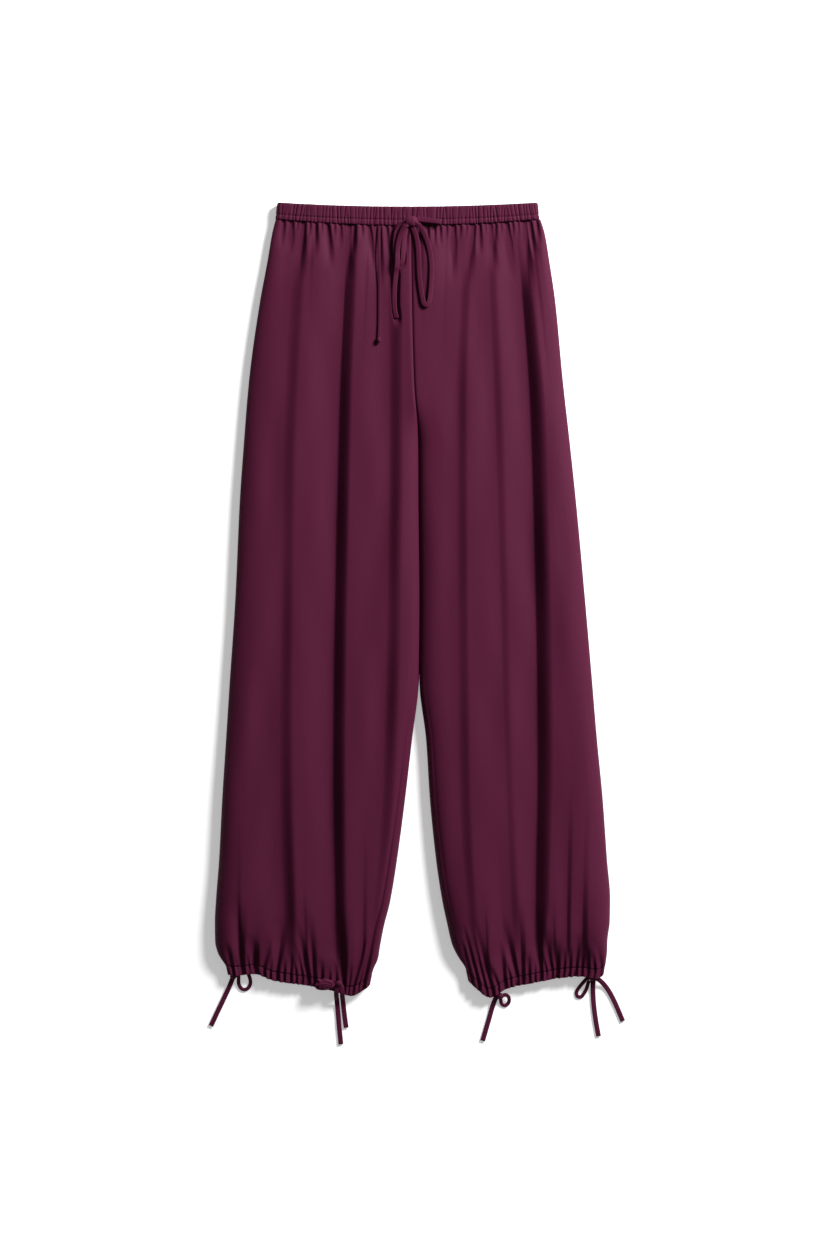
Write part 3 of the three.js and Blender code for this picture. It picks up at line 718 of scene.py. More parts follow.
# Materials
class Nodes:
    """A material's node tree, with short calls for adding and linking nodes."""

    def __init__(self, name: str) -> None:
        """Makes an empty material with a shader and an output.

        Args:
            name: Name of the material.
        """
        self.material = bpy.data.materials.new(name)
        self.material.use_nodes = True
        self.tree = self.material.node_tree
        self.tree.nodes.clear()
        self.shader = self.add("ShaderNodeBsdfPrincipled")
        output = self.add("ShaderNodeOutputMaterial")
        self.link(self.shader.outputs["BSDF"], output.inputs["Surface"])

    def add(self, kind: str, **settings: object) -> bpy.types.Node:
        """Adds a node and sets its properties."""
        node = self.tree.nodes.new(kind)
        for key, value in settings.items():
            setattr(node, key, value)
        return node

    def link(self, source: bpy.types.NodeSocket, target: bpy.types.NodeSocket) -> None:
        """Links two sockets."""
        self.tree.links.new(source, target)

    def math(self, operation: str, first: object, second: object = 0.0) -> bpy.types.NodeSocket:
        """Adds a math node on sockets or numbers and gives its result."""
        node = self.add("ShaderNodeMath", operation=operation)
        for socket, value in zip(node.inputs, (first, second)):
            if isinstance(value, (int, float)):
                socket.default_value = value
            else:
                self.link(value, socket)
        return node.outputs[0]

    def dye(self, deep: Point, light: Point, share: bpy.types.NodeSocket) -> None:
        """Blends the base colour from two tones of the dye."""
        mix = self.add("ShaderNodeMix", data_type="RGBA")
        mix.inputs["A"].default_value = (*deep, 1)
        mix.inputs["B"].default_value = (*light, 1)
        self.link(share, mix.inputs["Factor"])
        self.link(mix.outputs["Result"], self.shader.inputs["Base Color"])

    def raise_by(self, height: bpy.types.NodeSocket, distance: float, strength: float = 1.0) -> None:
        """Raises the surface's finest relief."""
        bump = self.add("ShaderNodeBump")
        bump.inputs["Strength"].default_value = strength
        bump.inputs["Distance"].default_value = distance
        self.link(height, bump.inputs["Height"])
        self.link(bump.outputs["Normal"], self.shader.inputs["Normal"])

    def set(self, **values: object) -> None:
        """Sets values on the shader's own sockets, with underscores for the spaces in their names."""
        for key, value in values.items():
            self.shader.inputs[key.replace("_", " ")].default_value = value

    def noise(self, vector: bpy.types.NodeSocket, scale: Point, detail: float) -> bpy.types.NodeSocket:
        """Adds a stretched noise texture and gives its factor."""
        mapping = self.add("ShaderNodeMapping")
        mapping.inputs["Scale"].default_value = scale
        self.link(vector, mapping.inputs["Vector"])
        texture = self.add("ShaderNodeTexNoise")
        texture.inputs["Scale"].default_value = 1.0
        texture.inputs["Detail"].default_value = detail
        self.link(mapping.outputs["Vector"], texture.inputs["Vector"])
        return texture.outputs["Fac"]


@dataclass(frozen=True)
class CrepeFinish:
    """Smooth matte crepe with a soft sheen.

    Attributes:
        name: Name of the material.
        deep: Darker tone of the dye, linear RGB.
        light: Lighter tone of the dye, linear RGB.
        roughness: Mean roughness.
        sheen: Weight of the fibre sheen.
        thread: Pitch of the threads in metres.
        relief: Height of the thread relief in metres.
        pebble: Scale of the crepe's grain on the UV map.
        slub: Scale of its long streaks on the UV map.
        patch: Scale of its slow changes of tone, in the object's own space.
        slub_share: Share of the streaks in the tone, the rest being the slow changes.
        weave_share: Height of the weave beside the grain's.
        rough_swing: How far the grain changes the roughness.
    """

    name: str
    deep: Point
    light: Point
    roughness: float = 0.64
    sheen: float = 0.02
    thread: float = 0.0005
    relief: float = 0.00012
    pebble: Point = (900, 520, 1)
    slub: Point = (340, 26, 1)
    patch: Point = (14, 5, 14)
    slub_share: float = 0.45
    weave_share: float = 0.35
    rough_swing: float = 0.14

    def build(self) -> bpy.types.Material:
        """Makes the material from UV in metres and object coordinates.

        Returns:
            The new material.
        """
        nodes = Nodes(self.name)
        place = nodes.add("ShaderNodeTexCoord")
        flat = nodes.add("ShaderNodeUVMap").outputs["UV"]
        split = nodes.add("ShaderNodeSeparateXYZ")
        nodes.link(flat, split.inputs[0])
        turns = 2 * math.pi / self.thread
        warp = nodes.math("SINE", nodes.math("MULTIPLY", split.outputs["X"], turns))
        weft = nodes.math("SINE", nodes.math("MULTIPLY", split.outputs["Y"], turns))
        weave = nodes.math("MULTIPLY", warp, weft)
        pebble = nodes.noise(flat, self.pebble, detail=2)
        slub = nodes.math("MULTIPLY", nodes.noise(flat, self.slub, detail=2), self.slub_share)
        patch = nodes.noise(place.outputs["Object"], self.patch, detail=3)
        tone = nodes.math("ADD", slub, nodes.math("MULTIPLY", patch, 1 - self.slub_share))
        nodes.dye(self.deep, self.light, tone)
        swing = nodes.math("MULTIPLY", pebble, self.rough_swing)
        rough = nodes.math("ADD", swing, self.roughness - self.rough_swing / 2)
        nodes.link(rough, nodes.shader.inputs["Roughness"])
        grain = nodes.math("ADD", nodes.math("MULTIPLY", weave, self.weave_share), pebble)
        nodes.raise_by(grain, self.relief, strength=0.5)
        nodes.set(Sheen_Weight=self.sheen, Sheen_Roughness=0.45, Sheen_Tint=(0.75, 0.35, 0.55, 1),
                  Specular_IOR_Level=0.08)
        return nodes.material


@dataclass(frozen=True)
class ThreadFinish:
    """Twisted sewing thread of the cloth's colour, a little glossier than it."""

    name: str = "sewing_thread"
    deep: Point = (0.056, 0.0054, 0.0218)
    light: Point = (0.074, 0.0075, 0.0292)
    twist: float = 0.0009
    relief: float = 0.0001

    def build(self) -> bpy.types.Material:
        """Makes the material from object coordinates."""
        nodes = Nodes(self.name)
        place = nodes.add("ShaderNodeTexCoord").outputs["Object"]
        split = nodes.add("ShaderNodeSeparateXYZ")
        nodes.link(place, split.inputs[0])
        slant = nodes.math("ADD", split.outputs["X"], split.outputs["Y"])
        ply = nodes.math("SINE", nodes.math("MULTIPLY", slant, 2 * math.pi / self.twist))
        share = nodes.math("ADD", nodes.math("MULTIPLY", ply, 0.5), 0.5)
        nodes.dye(self.deep, self.light, share)
        nodes.raise_by(share, self.relief)
        nodes.set(Roughness=0.5, Specular_IOR_Level=0.15)
        return nodes.material


@dataclass(frozen=True)
class Finishes:
    """All the finishes, one material for each."""

    cloth: bpy.types.Material
    trim: bpy.types.Material
    string: bpy.types.Material
    thread: bpy.types.Material


def make_finishes() -> Finishes:
    """Makes the four materials of the trousers."""
    cloth = CrepeFinish("crepe", (0.063, 0.0062, 0.0248), (0.073, 0.0074, 0.0289))
    trim = CrepeFinish("gathered_crepe", (0.062, 0.0061, 0.0243), (0.072, 0.0073, 0.0284))
    string = CrepeFinish("turned_crepe", (0.065, 0.0066, 0.0258), (0.077, 0.0081, 0.031),
                         roughness=0.62, sheen=0.03, relief=0.0001)
    return Finishes(cloth.build(), trim.build(), string.build(), ThreadFinish().build())


def dress(item: bpy.types.Object, material: bpy.types.Material) -> None:
    """Gives a piece its material."""
    item.data.materials.clear()
    item.data.materials.append(material)


# Panels
def under_strings(x: Grid, y: Grid) -> Grid:
    """Greatest height of a front that leaves the waist's strings and knots on it free."""
    rests = []
    for string in STRINGS:
        half = string.width * STRING_THICKNESS_SHARE / 2
        if string.node.startswith("waist"):
            path = smooth_path(string.route, per_step=2.5)
            rests += [(place, string.width / 2, half) for place in path]
    rests += [(knot.centre, max(knot.half[:2]), knot.half[2]) for knot in KNOTS
              if knot.node.startswith("waist")]
    most = np.full(x.shape, np.inf)
    for place, reach, half in rests:
        away = np.maximum(np.hypot(x - place[0], y - place[1]) - reach, 0)
        most = np.minimum(most, place[2] - half - STRING_REST + STRING_SIDE * away)
    return most


@dataclass(frozen=True)
class Panel:
    """One panel of a leg: a fine sheet on the CAD panel's form.

    Attributes:
        leg: Which leg.
        face: Front or back.
        across: Points across it.
        down: Points down it.
        crowding: How much closer the points stand towards its sides and towards its ends.
    """

    leg: Leg
    face: Face
    across: int
    down: int
    crowding: tuple[float, float]

    @property
    def node(self) -> str:
        """Name of the CAD node that it replaces."""
        return f"{self.face.value}_panel_{self.leg.word}"

    def front_heights(self, shape: LegShape, rows: Grid, x: Grid, y: Grid) -> Grid:
        """Heights of a front's outer face over its folds, gathers and slow waves."""
        outer_rise = quarter_round(np.abs(shape.outer - x), shape.roll)
        inner_rise = 1 - shape.drop * (1 - quarter_round(np.abs(x - shape.inner), shape.roll))
        rise = outer_rise * inner_rise
        from_waist = np.maximum(WAIST.seam(x) - y, 0)
        from_hem = np.maximum(y - hem_line(self.leg, x) - CASING_HEIGHT, 0)
        at_seam = 1 - np.clip(np.minimum(from_waist, from_hem) / SEAM_EASE, 0, 1)
        cap = SEAM_FOLD_CAP + OPEN_FOLD_CAP * (1 - at_seam) ** 2
        sunk = cap * np.tanh(merged(fold.sunk(rows, x) for fold in FRONT_FOLDS[self.leg]) / cap)
        sunk = sunk + merged(gather.sunk(from_waist, x) for gather in WAIST_GATHERS[self.leg])
        sunk = sunk + merged(gather.sunk(from_hem, x) for gather in HEM_GATHERS[self.leg])
        sunk = sunk + self.seam_dips(shape, rows, x)
        sunk = sunk - Undulation(seed=11 + self.leg.value, height=0.45, across=46, down=210).at(x, y)
        crown = shape.crown + WAIST_LIFT * (1 - np.clip(from_waist / SEAM_EASE, 0, 1)) ** 2
        height = FRONT_EDGE + (crown - FRONT_EDGE - sunk) * rise
        height = soft_floor(height, FRONT_EDGE + LEAST_COVER * rise, COVER_BLEND * rise)
        return np.minimum(height, under_strings(x, y))

    def seam_dips(self, shape: LegShape, rows: Grid, x: Grid) -> Grid:
        """Narrow dips along the centre seam and beside the inseam."""
        away = np.abs(x - shape.inner)
        centre = CENTRE_DIP * (1 - shape.drop) * trough(away, CENTRE_DIP_WIDTH)
        line = EDGE_LINES[self.leg]
        inset = along(EDGE_LINE_ROWS, line.inset, rows)
        deep = along(EDGE_LINE_ROWS, line.depths, rows)
        return centre + deep * trough(away - inset, line.width)

    def back_heights(self, shape: LegShape, rows: Grid, x: Grid, y: Grid) -> Grid:
        """Heights of a back's outer face: on the surface, lifted along its folds and rims."""
        outer_rim = 1 - quarter_round(np.abs(shape.outer - x), BACK_ROLL)
        inner_rim = shape.drop * (1 - quarter_round(np.abs(x - shape.inner), BACK_ROLL))
        rim = np.maximum(outer_rim, inner_rim)
        down_share = (PANEL_TOP_Y - rows) / (PANEL_TOP_Y - PANEL_FOOT_Y)
        lifted = np.zeros(x.shape)
        for fold in BACK_FOLDS[self.leg]:
            place = shape.low + (fold.share + fold.drift * down_share) * (shape.high - shape.low)
            lift = along(FOLD_DEPTH_ROWS, fold.lifts, rows)
            lifted += lift * trough(x - place, fold.width)
        waves = Undulation(seed=31 + self.leg.value, height=0.25, across=60, down=240).at(x, y)
        lifted = lifted + np.maximum(waves, 0)
        return rim * BACK_EDGE + (1 - rim) * np.minimum(lifted, BACK_LIFT_CAP)

    def grid(self) -> Grid:
        """Points of the outer face, in millimetres, from the waist down."""
        shares = crowded_shares(self.down, self.crowding[1])
        rows = (PANEL_TOP_Y + shares * (PANEL_FOOT_Y - PANEL_TOP_Y))[:, None]
        shape = leg_shape(self.leg, rows)
        x = shape.low + crowded_shares(self.across, self.crowding[0])[None, :] * (shape.high - shape.low)
        y = real_rows(self.leg, rows, x)
        heights = self.front_heights if self.face is Face.FRONT else self.back_heights
        places = x if self.face is Face.FRONT else x + self.seam_shift(shape, x)
        return np.stack([places, y, heights(shape, rows, x, y)], axis=2)

    @staticmethod
    def seam_shift(shape: LegShape, x: Grid) -> Grid:
        """How far a back's inner edge lies beside the front's where the legs touch, to hide the floor."""
        share = np.abs(x - shape.inner) / (shape.high - shape.low)
        return BACK_SEAM_SHIFT * np.clip(1 - shape.room, 0, 1) * (1 - share)

    def build(self, finishes: Finishes) -> bpy.types.Object:
        """Args:
            finishes: The trousers' materials.

        Returns:
            The panel's object.
        """
        grid = self.grid()
        uv = grid[..., :2] * MM
        turned = grid[::-1] if self.face is Face.FRONT else grid
        turned_uv = uv[::-1] if self.face is Face.FRONT else uv
        item = grid_mesh(f"{self.leg.word}_{self.face.value}_cloth", turned, turned_uv)
        thicken(item, SHELL)
        dress(item, finishes.cloth)
        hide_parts(self.node)
        return item


# Rings of gathered cloth
EDGE_REACH = 0.05
PINCH_REACH = 0.045
UPPER_ROUND = 0.6
INSIDE_RELIEF = 0.15
TURN_STEPS = (0.3, 0.6)
TURN_OUT = 0.035
TURN_FADE = 0.6
SEAM_TURN = (1.02, 0.6, 0.3)


def band_rows(outside: int, inside: int, wall: float, channel: float, pinch: float, edge: float) -> Grid:
    """Rows of a folded band, from its lower seam over its edge and back inside.

    It is gathered outside, pinched along its channel and plain inside.

    Args:
        outside: Number of rows outside.
        inside: Number of rows inside.
        wall: Thickness of the band.
        channel: Place of the stitched channel line, as a share of the way down.
        pinch: Depth of that line.
        edge: How far the band rounds in at its two edges.

    Returns:
        Three columns: the rows' shares of the way from the upper to the lower edge, how far they lie
        inside the band's form, and their shares of the gathers' depth.
    """
    rows = []
    for share in np.linspace(1, 0, outside):
        rounded = edge * (trough(share, EDGE_REACH) + UPPER_ROUND * trough(1 - share, EDGE_REACH))
        rows.append((share, pinch * trough(share - channel, PINCH_REACH) + rounded, 1))
    rows += [(-TURN_OUT, wall * turn, 0.7 - TURN_FADE * turn) for turn in TURN_STEPS]
    rows += [(share, wall, INSIDE_RELIEF) for share in np.linspace(0, 1, inside)]
    down, sink, relief = SEAM_TURN
    rows.append((down, wall * sink, relief))
    return np.array(rows, float).T[..., None]


def build_ring(name: str, node: str, points: Grid, uv: Grid, girth: float,
               material: bpy.types.Material) -> bpy.types.Object:
    """Args:
        name: Name of the object.
        node: CAD node that it replaces.
        points: Its points in millimetres, rows by places round it.
        uv: Their UV in metres.
        girth: Length all round.
        material: Its material.

    Returns:
        The ring's object.
    """
    uv_rows = np.concatenate([uv, uv[:1]])
    uv_all = np.concatenate([uv_rows, uv_rows[:, :1] + (girth * MM, 0)], axis=1)
    item = grid_mesh(name, points, uv_all, close_rows=True, close_columns=True)
    dress(item, material)
    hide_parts(node)
    LOG.info("%s: %.0f mm round", item.name, girth)
    return item


@dataclass(frozen=True)
class Gathers:
    """Uneven small gathers round a ring.

    Attributes:
        seed: Seed of their spacing.
        spacing: Usual distance from one to the next.
        deep: Depth of the deepest.
        width: Half width of a usual one.
        lean: How far one may drift between the ring's edges.
        scatter: How far one may stand from its even place, as a share of the spacing.
        depths: Least and greatest share of the depth.
        widths: Least and greatest share of the width.
        starts: Places down the ring from which one may show.
        odds: How often each of those starts is taken.
        fade: Where one rises, as places before and after its start.
    """

    seed: int
    spacing: float
    deep: float
    width: float
    lean: float
    scatter: float = 0.32
    depths: tuple[float, float] = (0.45, 1)
    widths: tuple[float, float] = (0.7, 1.35)
    starts: tuple[float, ...] = (0.0, 0.0, 0.35, 0.6)
    odds: tuple[float, ...] = (0.4, 0.3, 0.15, 0.15)
    fade: tuple[float, float] = (0.25, 0.1)

    def sunk(self, run: Grid, down: Grid, girth: float) -> Grid:
        """How far the gathers sink the cloth.

        Args:
            run: Running length round the ring.
            down: Share of the way down the ring, one column.
            girth: Length all round.

        Returns:
            Depths in millimetres.
        """
        random = np.random.default_rng(self.seed)
        count = round(girth / self.spacing)
        total = np.zeros(np.broadcast(run, down).shape)
        for i in range(count):
            place = (i + random.uniform(-self.scatter, self.scatter)) * girth / count
            drift = random.uniform(-self.lean, self.lean)
            deep = self.deep * random.uniform(*self.depths)
            width = self.width * random.uniform(*self.widths)
            start = random.choice(self.starts, p=self.odds)
            away = run - place - drift * (down - 0.5)
            away = (away + girth / 2) % girth - girth / 2
            shown = smooth_step(down, start - self.fade[0], start + self.fade[1])
            total += deep * trough(away, width) * shown
        return total


@dataclass(frozen=True)
class Waistband:
    """Elastic waistband: a gathered channel all round, stitched along its lower third.

    Attributes:
        node: CAD node that it replaces.
        columns: Points round it.
        thickness: Thickness of the whole flat ring.
        wall: Thickness of its folded cloth.
        height: Its height on the UV map.
        channel: Place of the stitched channel line, as a share of the way down.
        deepest: Greatest depth of its gathers together.
        reach: How far its lower edge reaches past the seam's gap.
        rim: How far its upper edge lies below the waist line.
        ruffle: Depth of the waves in its upper edge.
        ruffle_rest: Depth of gathers at which that edge runs straight.
        ruffle_down: How far down the waves reach, as a share of the way.
        stitch_rows: Rows that its two lines of stitches follow.
    """

    node: str = "waistband"
    columns: int = 1400
    thickness: float = 13.6
    wall: float = 1.9
    height: float = 24.0
    channel: float = 0.7
    deepest: float = 1.9
    reach: float = 0.2
    rim: float = 0.6
    ruffle: float = 0.5
    ruffle_rest: float = 0.8
    ruffle_down: float = 0.2
    stitch_rows: tuple[int, int] = (7, 9)

    def section(self, run: Grid, half_width: Grid) -> tuple[Grid, Grid, Grid, Grid]:
        """Flat ring with round ends, run round from the front's low x.

        Args:
            run: Shares of the way round.
            half_width: Half width of the ring at each row.

        Returns:
            x, z, and the outward direction's x and z.
        """
        radius = self.thickness / 2
        straight = 2 * (half_width - radius)
        arc = math.pi * radius
        length = run * 2 * (straight + arc)
        second = length >= straight + arc
        on = length - second * (straight + arc)
        turn = np.where(second, -1, 1)
        angle = np.maximum(on - straight, 0) / radius
        flat = np.minimum(on, straight) - straight / 2
        out_x, out_z = np.sin(angle) * turn, np.cos(angle) * turn
        return flat * turn + out_x * radius, radius + out_z * radius, out_x, out_z

    def grid(self) -> tuple[Grid, Grid]:
        """Points in millimetres and their UV."""
        down, sink, relief = band_rows(26, 6, self.wall, self.channel, pinch=0.75, edge=0.8)
        run = (np.arange(self.columns) / self.columns)[None, :]
        share = np.clip(down, 0, 1)
        half_width = WAIST.half_top + (WAIST.half_seam - WAIST.half_top) * share
        x, z, out_x, out_z = self.section(run, half_width)
        girth = 4 * WAIST.half_seam
        fine = Gathers(seed=5, spacing=4.7, deep=1.15, width=0.95, lean=2.6)
        soft = Gathers(seed=8, spacing=17, deep=0.5, width=4.5, lean=3)
        sunk = fine.sunk(run * girth, share, girth) + soft.sunk(run * girth, share, girth)
        depth = sink + relief * np.minimum(sunk, self.deepest)
        x = WAIST.centre_x + x - out_x * depth
        seam = WAIST.seam(x) + SEAM_GAP / 2 + self.reach
        ruffle = self.ruffle * relief * (self.ruffle_rest - sunk) * (down < self.ruffle_down)
        top = WAIST.top(x) - self.rim
        y = top + (seam - WAIST.top(x) + self.rim) * np.minimum(down, 1) + ruffle
        points = np.stack([x, y, np.maximum(z - out_z * depth, 0)], axis=2)
        uv = np.stack([run * girth * MM + 0 * down, -down * self.height * MM + 0 * run], axis=2)
        return points, uv

    def build(self, finishes: Finishes) -> bpy.types.Object:
        """Makes the waistband."""
        return build_ring("waistband_cloth", self.node, *self.grid(), 4 * WAIST.half_seam, finishes.trim)


@dataclass(frozen=True)
class HemCasing:
    """Hem casing of one leg: a tunnel that carries on from the panels and gathers at its edge.

    Attributes:
        leg: Which leg.
        wall: Thickness of its folded cloth.
        tuck: Width of its lower edge as a share of its seam's.
        deepest: Greatest depth of its gathers together.
        scallop: Depth of the waves in its lower edge.
        scallop_rest: Depth of gathers at which that edge runs straight.
        scallop_from: How far down the waves begin, as a share of the way.
        foot: How far its lower edge reaches past the casing's height.
        turn: How far down its rows may go, as a share of the way.
        overlap: How far its seam reaches up under the leg.
        stitch_row: Row that its line of stitches follows.
    """

    leg: Leg
    wall: float = 1.7
    tuck: float = 0.975
    deepest: float = 3.0
    scallop: float = 0.7
    scallop_rest: float = 0.9
    scallop_from: float = 0.3
    foot: float = 0.3
    turn: float = 1.03
    overlap: float = 0.05
    stitch_row: int = 2

    @property
    def node(self) -> str:
        """Name of the CAD node that it replaces."""
        return f"hem_casing_{self.leg.word}"

    def section(self) -> Grid:
        """Ring of x and z round the leg's foot, from the low edge over the front and back beneath."""
        front = Panel(self.leg, Face.FRONT, across=300, down=3, crowding=(0.3, 0)).grid()[-1]
        back = Panel(self.leg, Face.BACK, across=220, down=3, crowding=(0.5, 0)).grid()[-1]
        ring = np.concatenate([front, back[1:-1][::-1]])[:, (0, 2)]
        ring[0, 1] = ring[len(front) - 1, 1] = SEAM_HEIGHT
        return ring

    def grid(self) -> tuple[Grid, Grid, float]:
        """Points in millimetres, their UV, and the girth."""
        ring = self.section()
        heading = headings(ring, closed=True)
        out_x, out_z = -heading[:, 1], heading[:, 0]
        steps = np.linalg.norm(np.roll(ring, -1, axis=0) - ring, axis=1)
        run = np.concatenate([[0], np.cumsum(steps)[:-1]])[None, :]
        girth = float(steps.sum())
        up, sink, relief = band_rows(14, 5, self.wall, channel=0.12, pinch=0.3, edge=0.12)
        down = 1 - up
        share = np.clip(down, 0, 1)
        fine = Gathers(seed=17 + self.leg.value, spacing=7.4, deep=2.2, width=1.5, lean=3)
        sunk = np.minimum(fine.sunk(run, share, girth), self.deepest) * share
        middle = (ring[:, 0].min() + ring[:, 0].max()) / 2
        depth = sink + relief * sunk
        narrow = 1 + (self.tuck - 1) * share
        x = middle + (ring[None, :, 0] - middle) * narrow - out_x * depth
        top = hem_line(self.leg, x) + CASING_HEIGHT + SEAM_GAP / 2 + self.overlap
        wave = self.scallop * relief * (self.scallop_rest - sunk)
        scallop = wave * smooth_step(share, self.scallop_from, 1)
        y = top - (CASING_HEIGHT + self.foot) * np.clip(down, 0, self.turn) - scallop
        z = np.maximum(ring[None, :, 1] - out_z * depth, 0.0)
        uv = np.stack([run * MM + 0 * down, -down * CASING_HEIGHT * MM + 0 * run], axis=2)
        return np.stack([x, y, z], axis=2), uv, girth

    def build(self, finishes: Finishes) -> bpy.types.Object:
        """Makes the casing."""
        return build_ring(f"{self.leg.word}_hem_cloth", self.node, *self.grid(), finishes.trim)


# Strings
class FarEnd(Enum):
    """What a string's far end is."""

    BARE = "bare"
    KNOT = "knot"
    BACK_IN_KNOT = "object"


@dataclass(frozen=True)
class String:
    """One flat turned string that lies on the cloth or the floor.

    Attributes:
        node: CAD node that it replaces.
        width: Its width.
        far_end: What its far end is.
        route: The middle of the string where it lies, in millimetres.
        twist: Turn about its own line at its start, middle and end, in degrees.
    """

    node: str
    width: float
    far_end: FarEnd
    route: tuple[Point, ...]
    twist: tuple[float, float, float] = (0, 0, 0)


STRINGS = (
    String("waist_loop_left", STRING_WIDTH, FarEnd.BACK_IN_KNOT, (
        (-10.9, 488.6, 16.4), (-16.5, 485.5, 14.8), (-20.6, 478, 13.7), (-22.4, 466, 13.9),
        (-22.4, 453, 14.7), (-21.6, 445, 15.4), (-19.8, 438.4, 16), (-16.4, 436.2, 16.5),
        (-13.2, 439.6, 16.9), (-12.2, 447, 17), (-11.8, 456, 16.8), (-10.2, 470, 16.1), (-7.8, 484.8, 16.4),
    ), (-10, 8, 12)),
    String("waist_loop_hanging", STRING_WIDTH, FarEnd.BACK_IN_KNOT, (
        (8.2, 486.4, 17), (13, 479.5, 15.6), (18.5, 467, 16), (22.8, 451, 17.1), (24.8, 433, 18.3),
        (24.6, 415, 19.3), (23.6, 400, 20), (22.6, 391, 20.4), (20.9, 384.6, 20.7), (17.8, 382, 20.8),
        (14.7, 384.6, 20.6), (13, 391, 20.2), (11, 402, 19.9), (8.9, 420, 19.3), (8, 440, 18.4),
        (7, 457, 17.4), (5, 471, 16.4), (0.6, 483, 16.4),
    ), (12, -6, -10)),
    String("waist_loop_short", STRING_WIDTH, FarEnd.BACK_IN_KNOT, (
        (8.2, 493.6, 17.8), (20, 492.4, 17.8), (32.4, 491.1, 17.7), (36.3, 490.7, 17.2),
        (37.8, 490.5, 16.2), (36.3, 490.7, 15.2), (32.4, 491.1, 14.7), (20, 492.4, 14.7),
        (9.6, 493.4, 14.8),
    )),
    String("waist_tail_left", STRING_WIDTH, FarEnd.BARE, (
        (-9.1, 485.4, 19.4), (-14.5, 476, 17.8), (-18, 464, 17), (-19.4, 452, 17.4), (-19.6, 441, 19),
        (-20.2, 432, 18.9), (-21.2, 424.5, 16.8), (-23, 407, 15.8), (-23.6, 390, 15.9), (-22.8, 375, 16.2),
        (-20.6, 365.5, 16.9),
    ), (10, -8, 14)),
    String("waist_tail_thin", THIN_WIDTH, FarEnd.KNOT, (
        (-43.2, 486, 11.6), (-43.5, 470, 12.6), (-43.5, 450, 14.1), (-43.2, 420, 15.7), (-43, 390, 17),
        (-43, 360, 17.8), (-43.4, 341.2, 18.6),
    ), (0, 14, 4)),
    String("tie_right_outer_loop", LOOP_WIDTH, FarEnd.BACK_IN_KNOT, (
        (-226, -487.6, 6.6), (-226.4, -494, 3.4), (-226.2, -500, 1.5), (-223.2, -505.6, 1.1),
        (-218.6, -507.4, 1.1), (-214, -505.2, 1.1), (-211.2, -499.6, 1.4), (-211.4, -493.4, 3.2),
        (-213.4, -486.4, 6.4),
    )),
    String("tie_right_outer_tail", STRING_WIDTH, FarEnd.BARE, (
        (-234.6, -493.7, 5.4), (-238.3, -503, 2.5), (-242.4, -512, 1.4), (-248, -524, 1.3),
        (-254, -536.5, 1.3), (-259.6, -548.6, 1.3), (-262.4, -554.6, 1.3),
    ), (8, -3, 2)),
    String("tie_right_inner_tail_long", STRING_WIDTH, FarEnd.BARE, (
        (-98.6, -502.6, 16.4), (-98.8, -508.6, 15.2), (-98.8, -514.6, 11.8), (-98.4, -519.6, 6),
        (-98, -526, 2.4), (-97.2, -535, 1.3), (-95.6, -554, 1.3), (-93.2, -578.5, 1.3),
    ), (6, 2, -2)),
    String("tie_right_inner_tail_short", STRING_WIDTH, FarEnd.BARE, (
        (-91.8, -502.2, 16.2), (-91.2, -510, 14.6), (-91, -516, 11), (-90.6, -521.2, 5.6),
        (-90, -527.6, 2.2), (-89, -537, 1.3), (-86.4, -557, 1.3),
    ), (-8, 2, 2)),
    String("tie_left_inner_loop", LOOP_WIDTH, FarEnd.BACK_IN_KNOT, (
        (121.2, -513.2, 7), (124.6, -515.8, 5), (125.8, -520.4, 3), (124.6, -525.2, 1.5),
        (120.8, -528, 1.1), (116.8, -526.8, 1.1), (115.1, -523, 2.2), (114.7, -519.8, 4),
    )),
    String("tie_left_inner_tail", STRING_WIDTH, FarEnd.BARE, (
        (108.4, -517.2, 5.4), (105.2, -526, 2.4), (102.8, -534, 1.4), (99.6, -545.6, 1.3),
        (95.6, -559.5, 1.3), (91.4, -574, 1.3),
    ), (-8, 3, 0)),
    String("tie_left_outer_loop", LOOP_WIDTH, FarEnd.BACK_IN_KNOT, (
        (226.9, -491.8, 6.6), (221.9, -497.8, 4.6), (217.4, -503.8, 2), (213.6, -510.5, 1.1),
        (214.6, -516, 1.05), (219.4, -516.8, 1.05), (223.4, -512.2, 1.05), (226.6, -505.8, 2),
        (228.6, -497.7, 4.8),
    )),
    String("tie_left_outer_tail_straight", STRING_WIDTH, FarEnd.BARE, (
        (234.8, -496.5, 4.9), (234.9, -506.5, 2.2), (235.2, -514, 1.35), (236, -526.5, 1.3),
        (238.6, -547, 1.3), (242.3, -568, 1.3),
    ), (6, -2, 2)),
    String("tie_left_outer_tail_curved", STRING_WIDTH, FarEnd.BARE, (
        (240.4, -492.2, 7.4), (245.2, -496.2, 5), (250.3, -501.6, 2.4), (256.5, -510.5, 1.35),
        (263.3, -523.6, 1.3), (269, -536.6, 1.3), (273.9, -548.4, 1.3),
    ), (4, -3, 2)),
)


SPAN_SAMPLES = 24
LEAST_STEPS = 8
SIDE_POWER = 0.75
FACE_POWER = 0.8
RIBBON_HOLLOW = 0.22


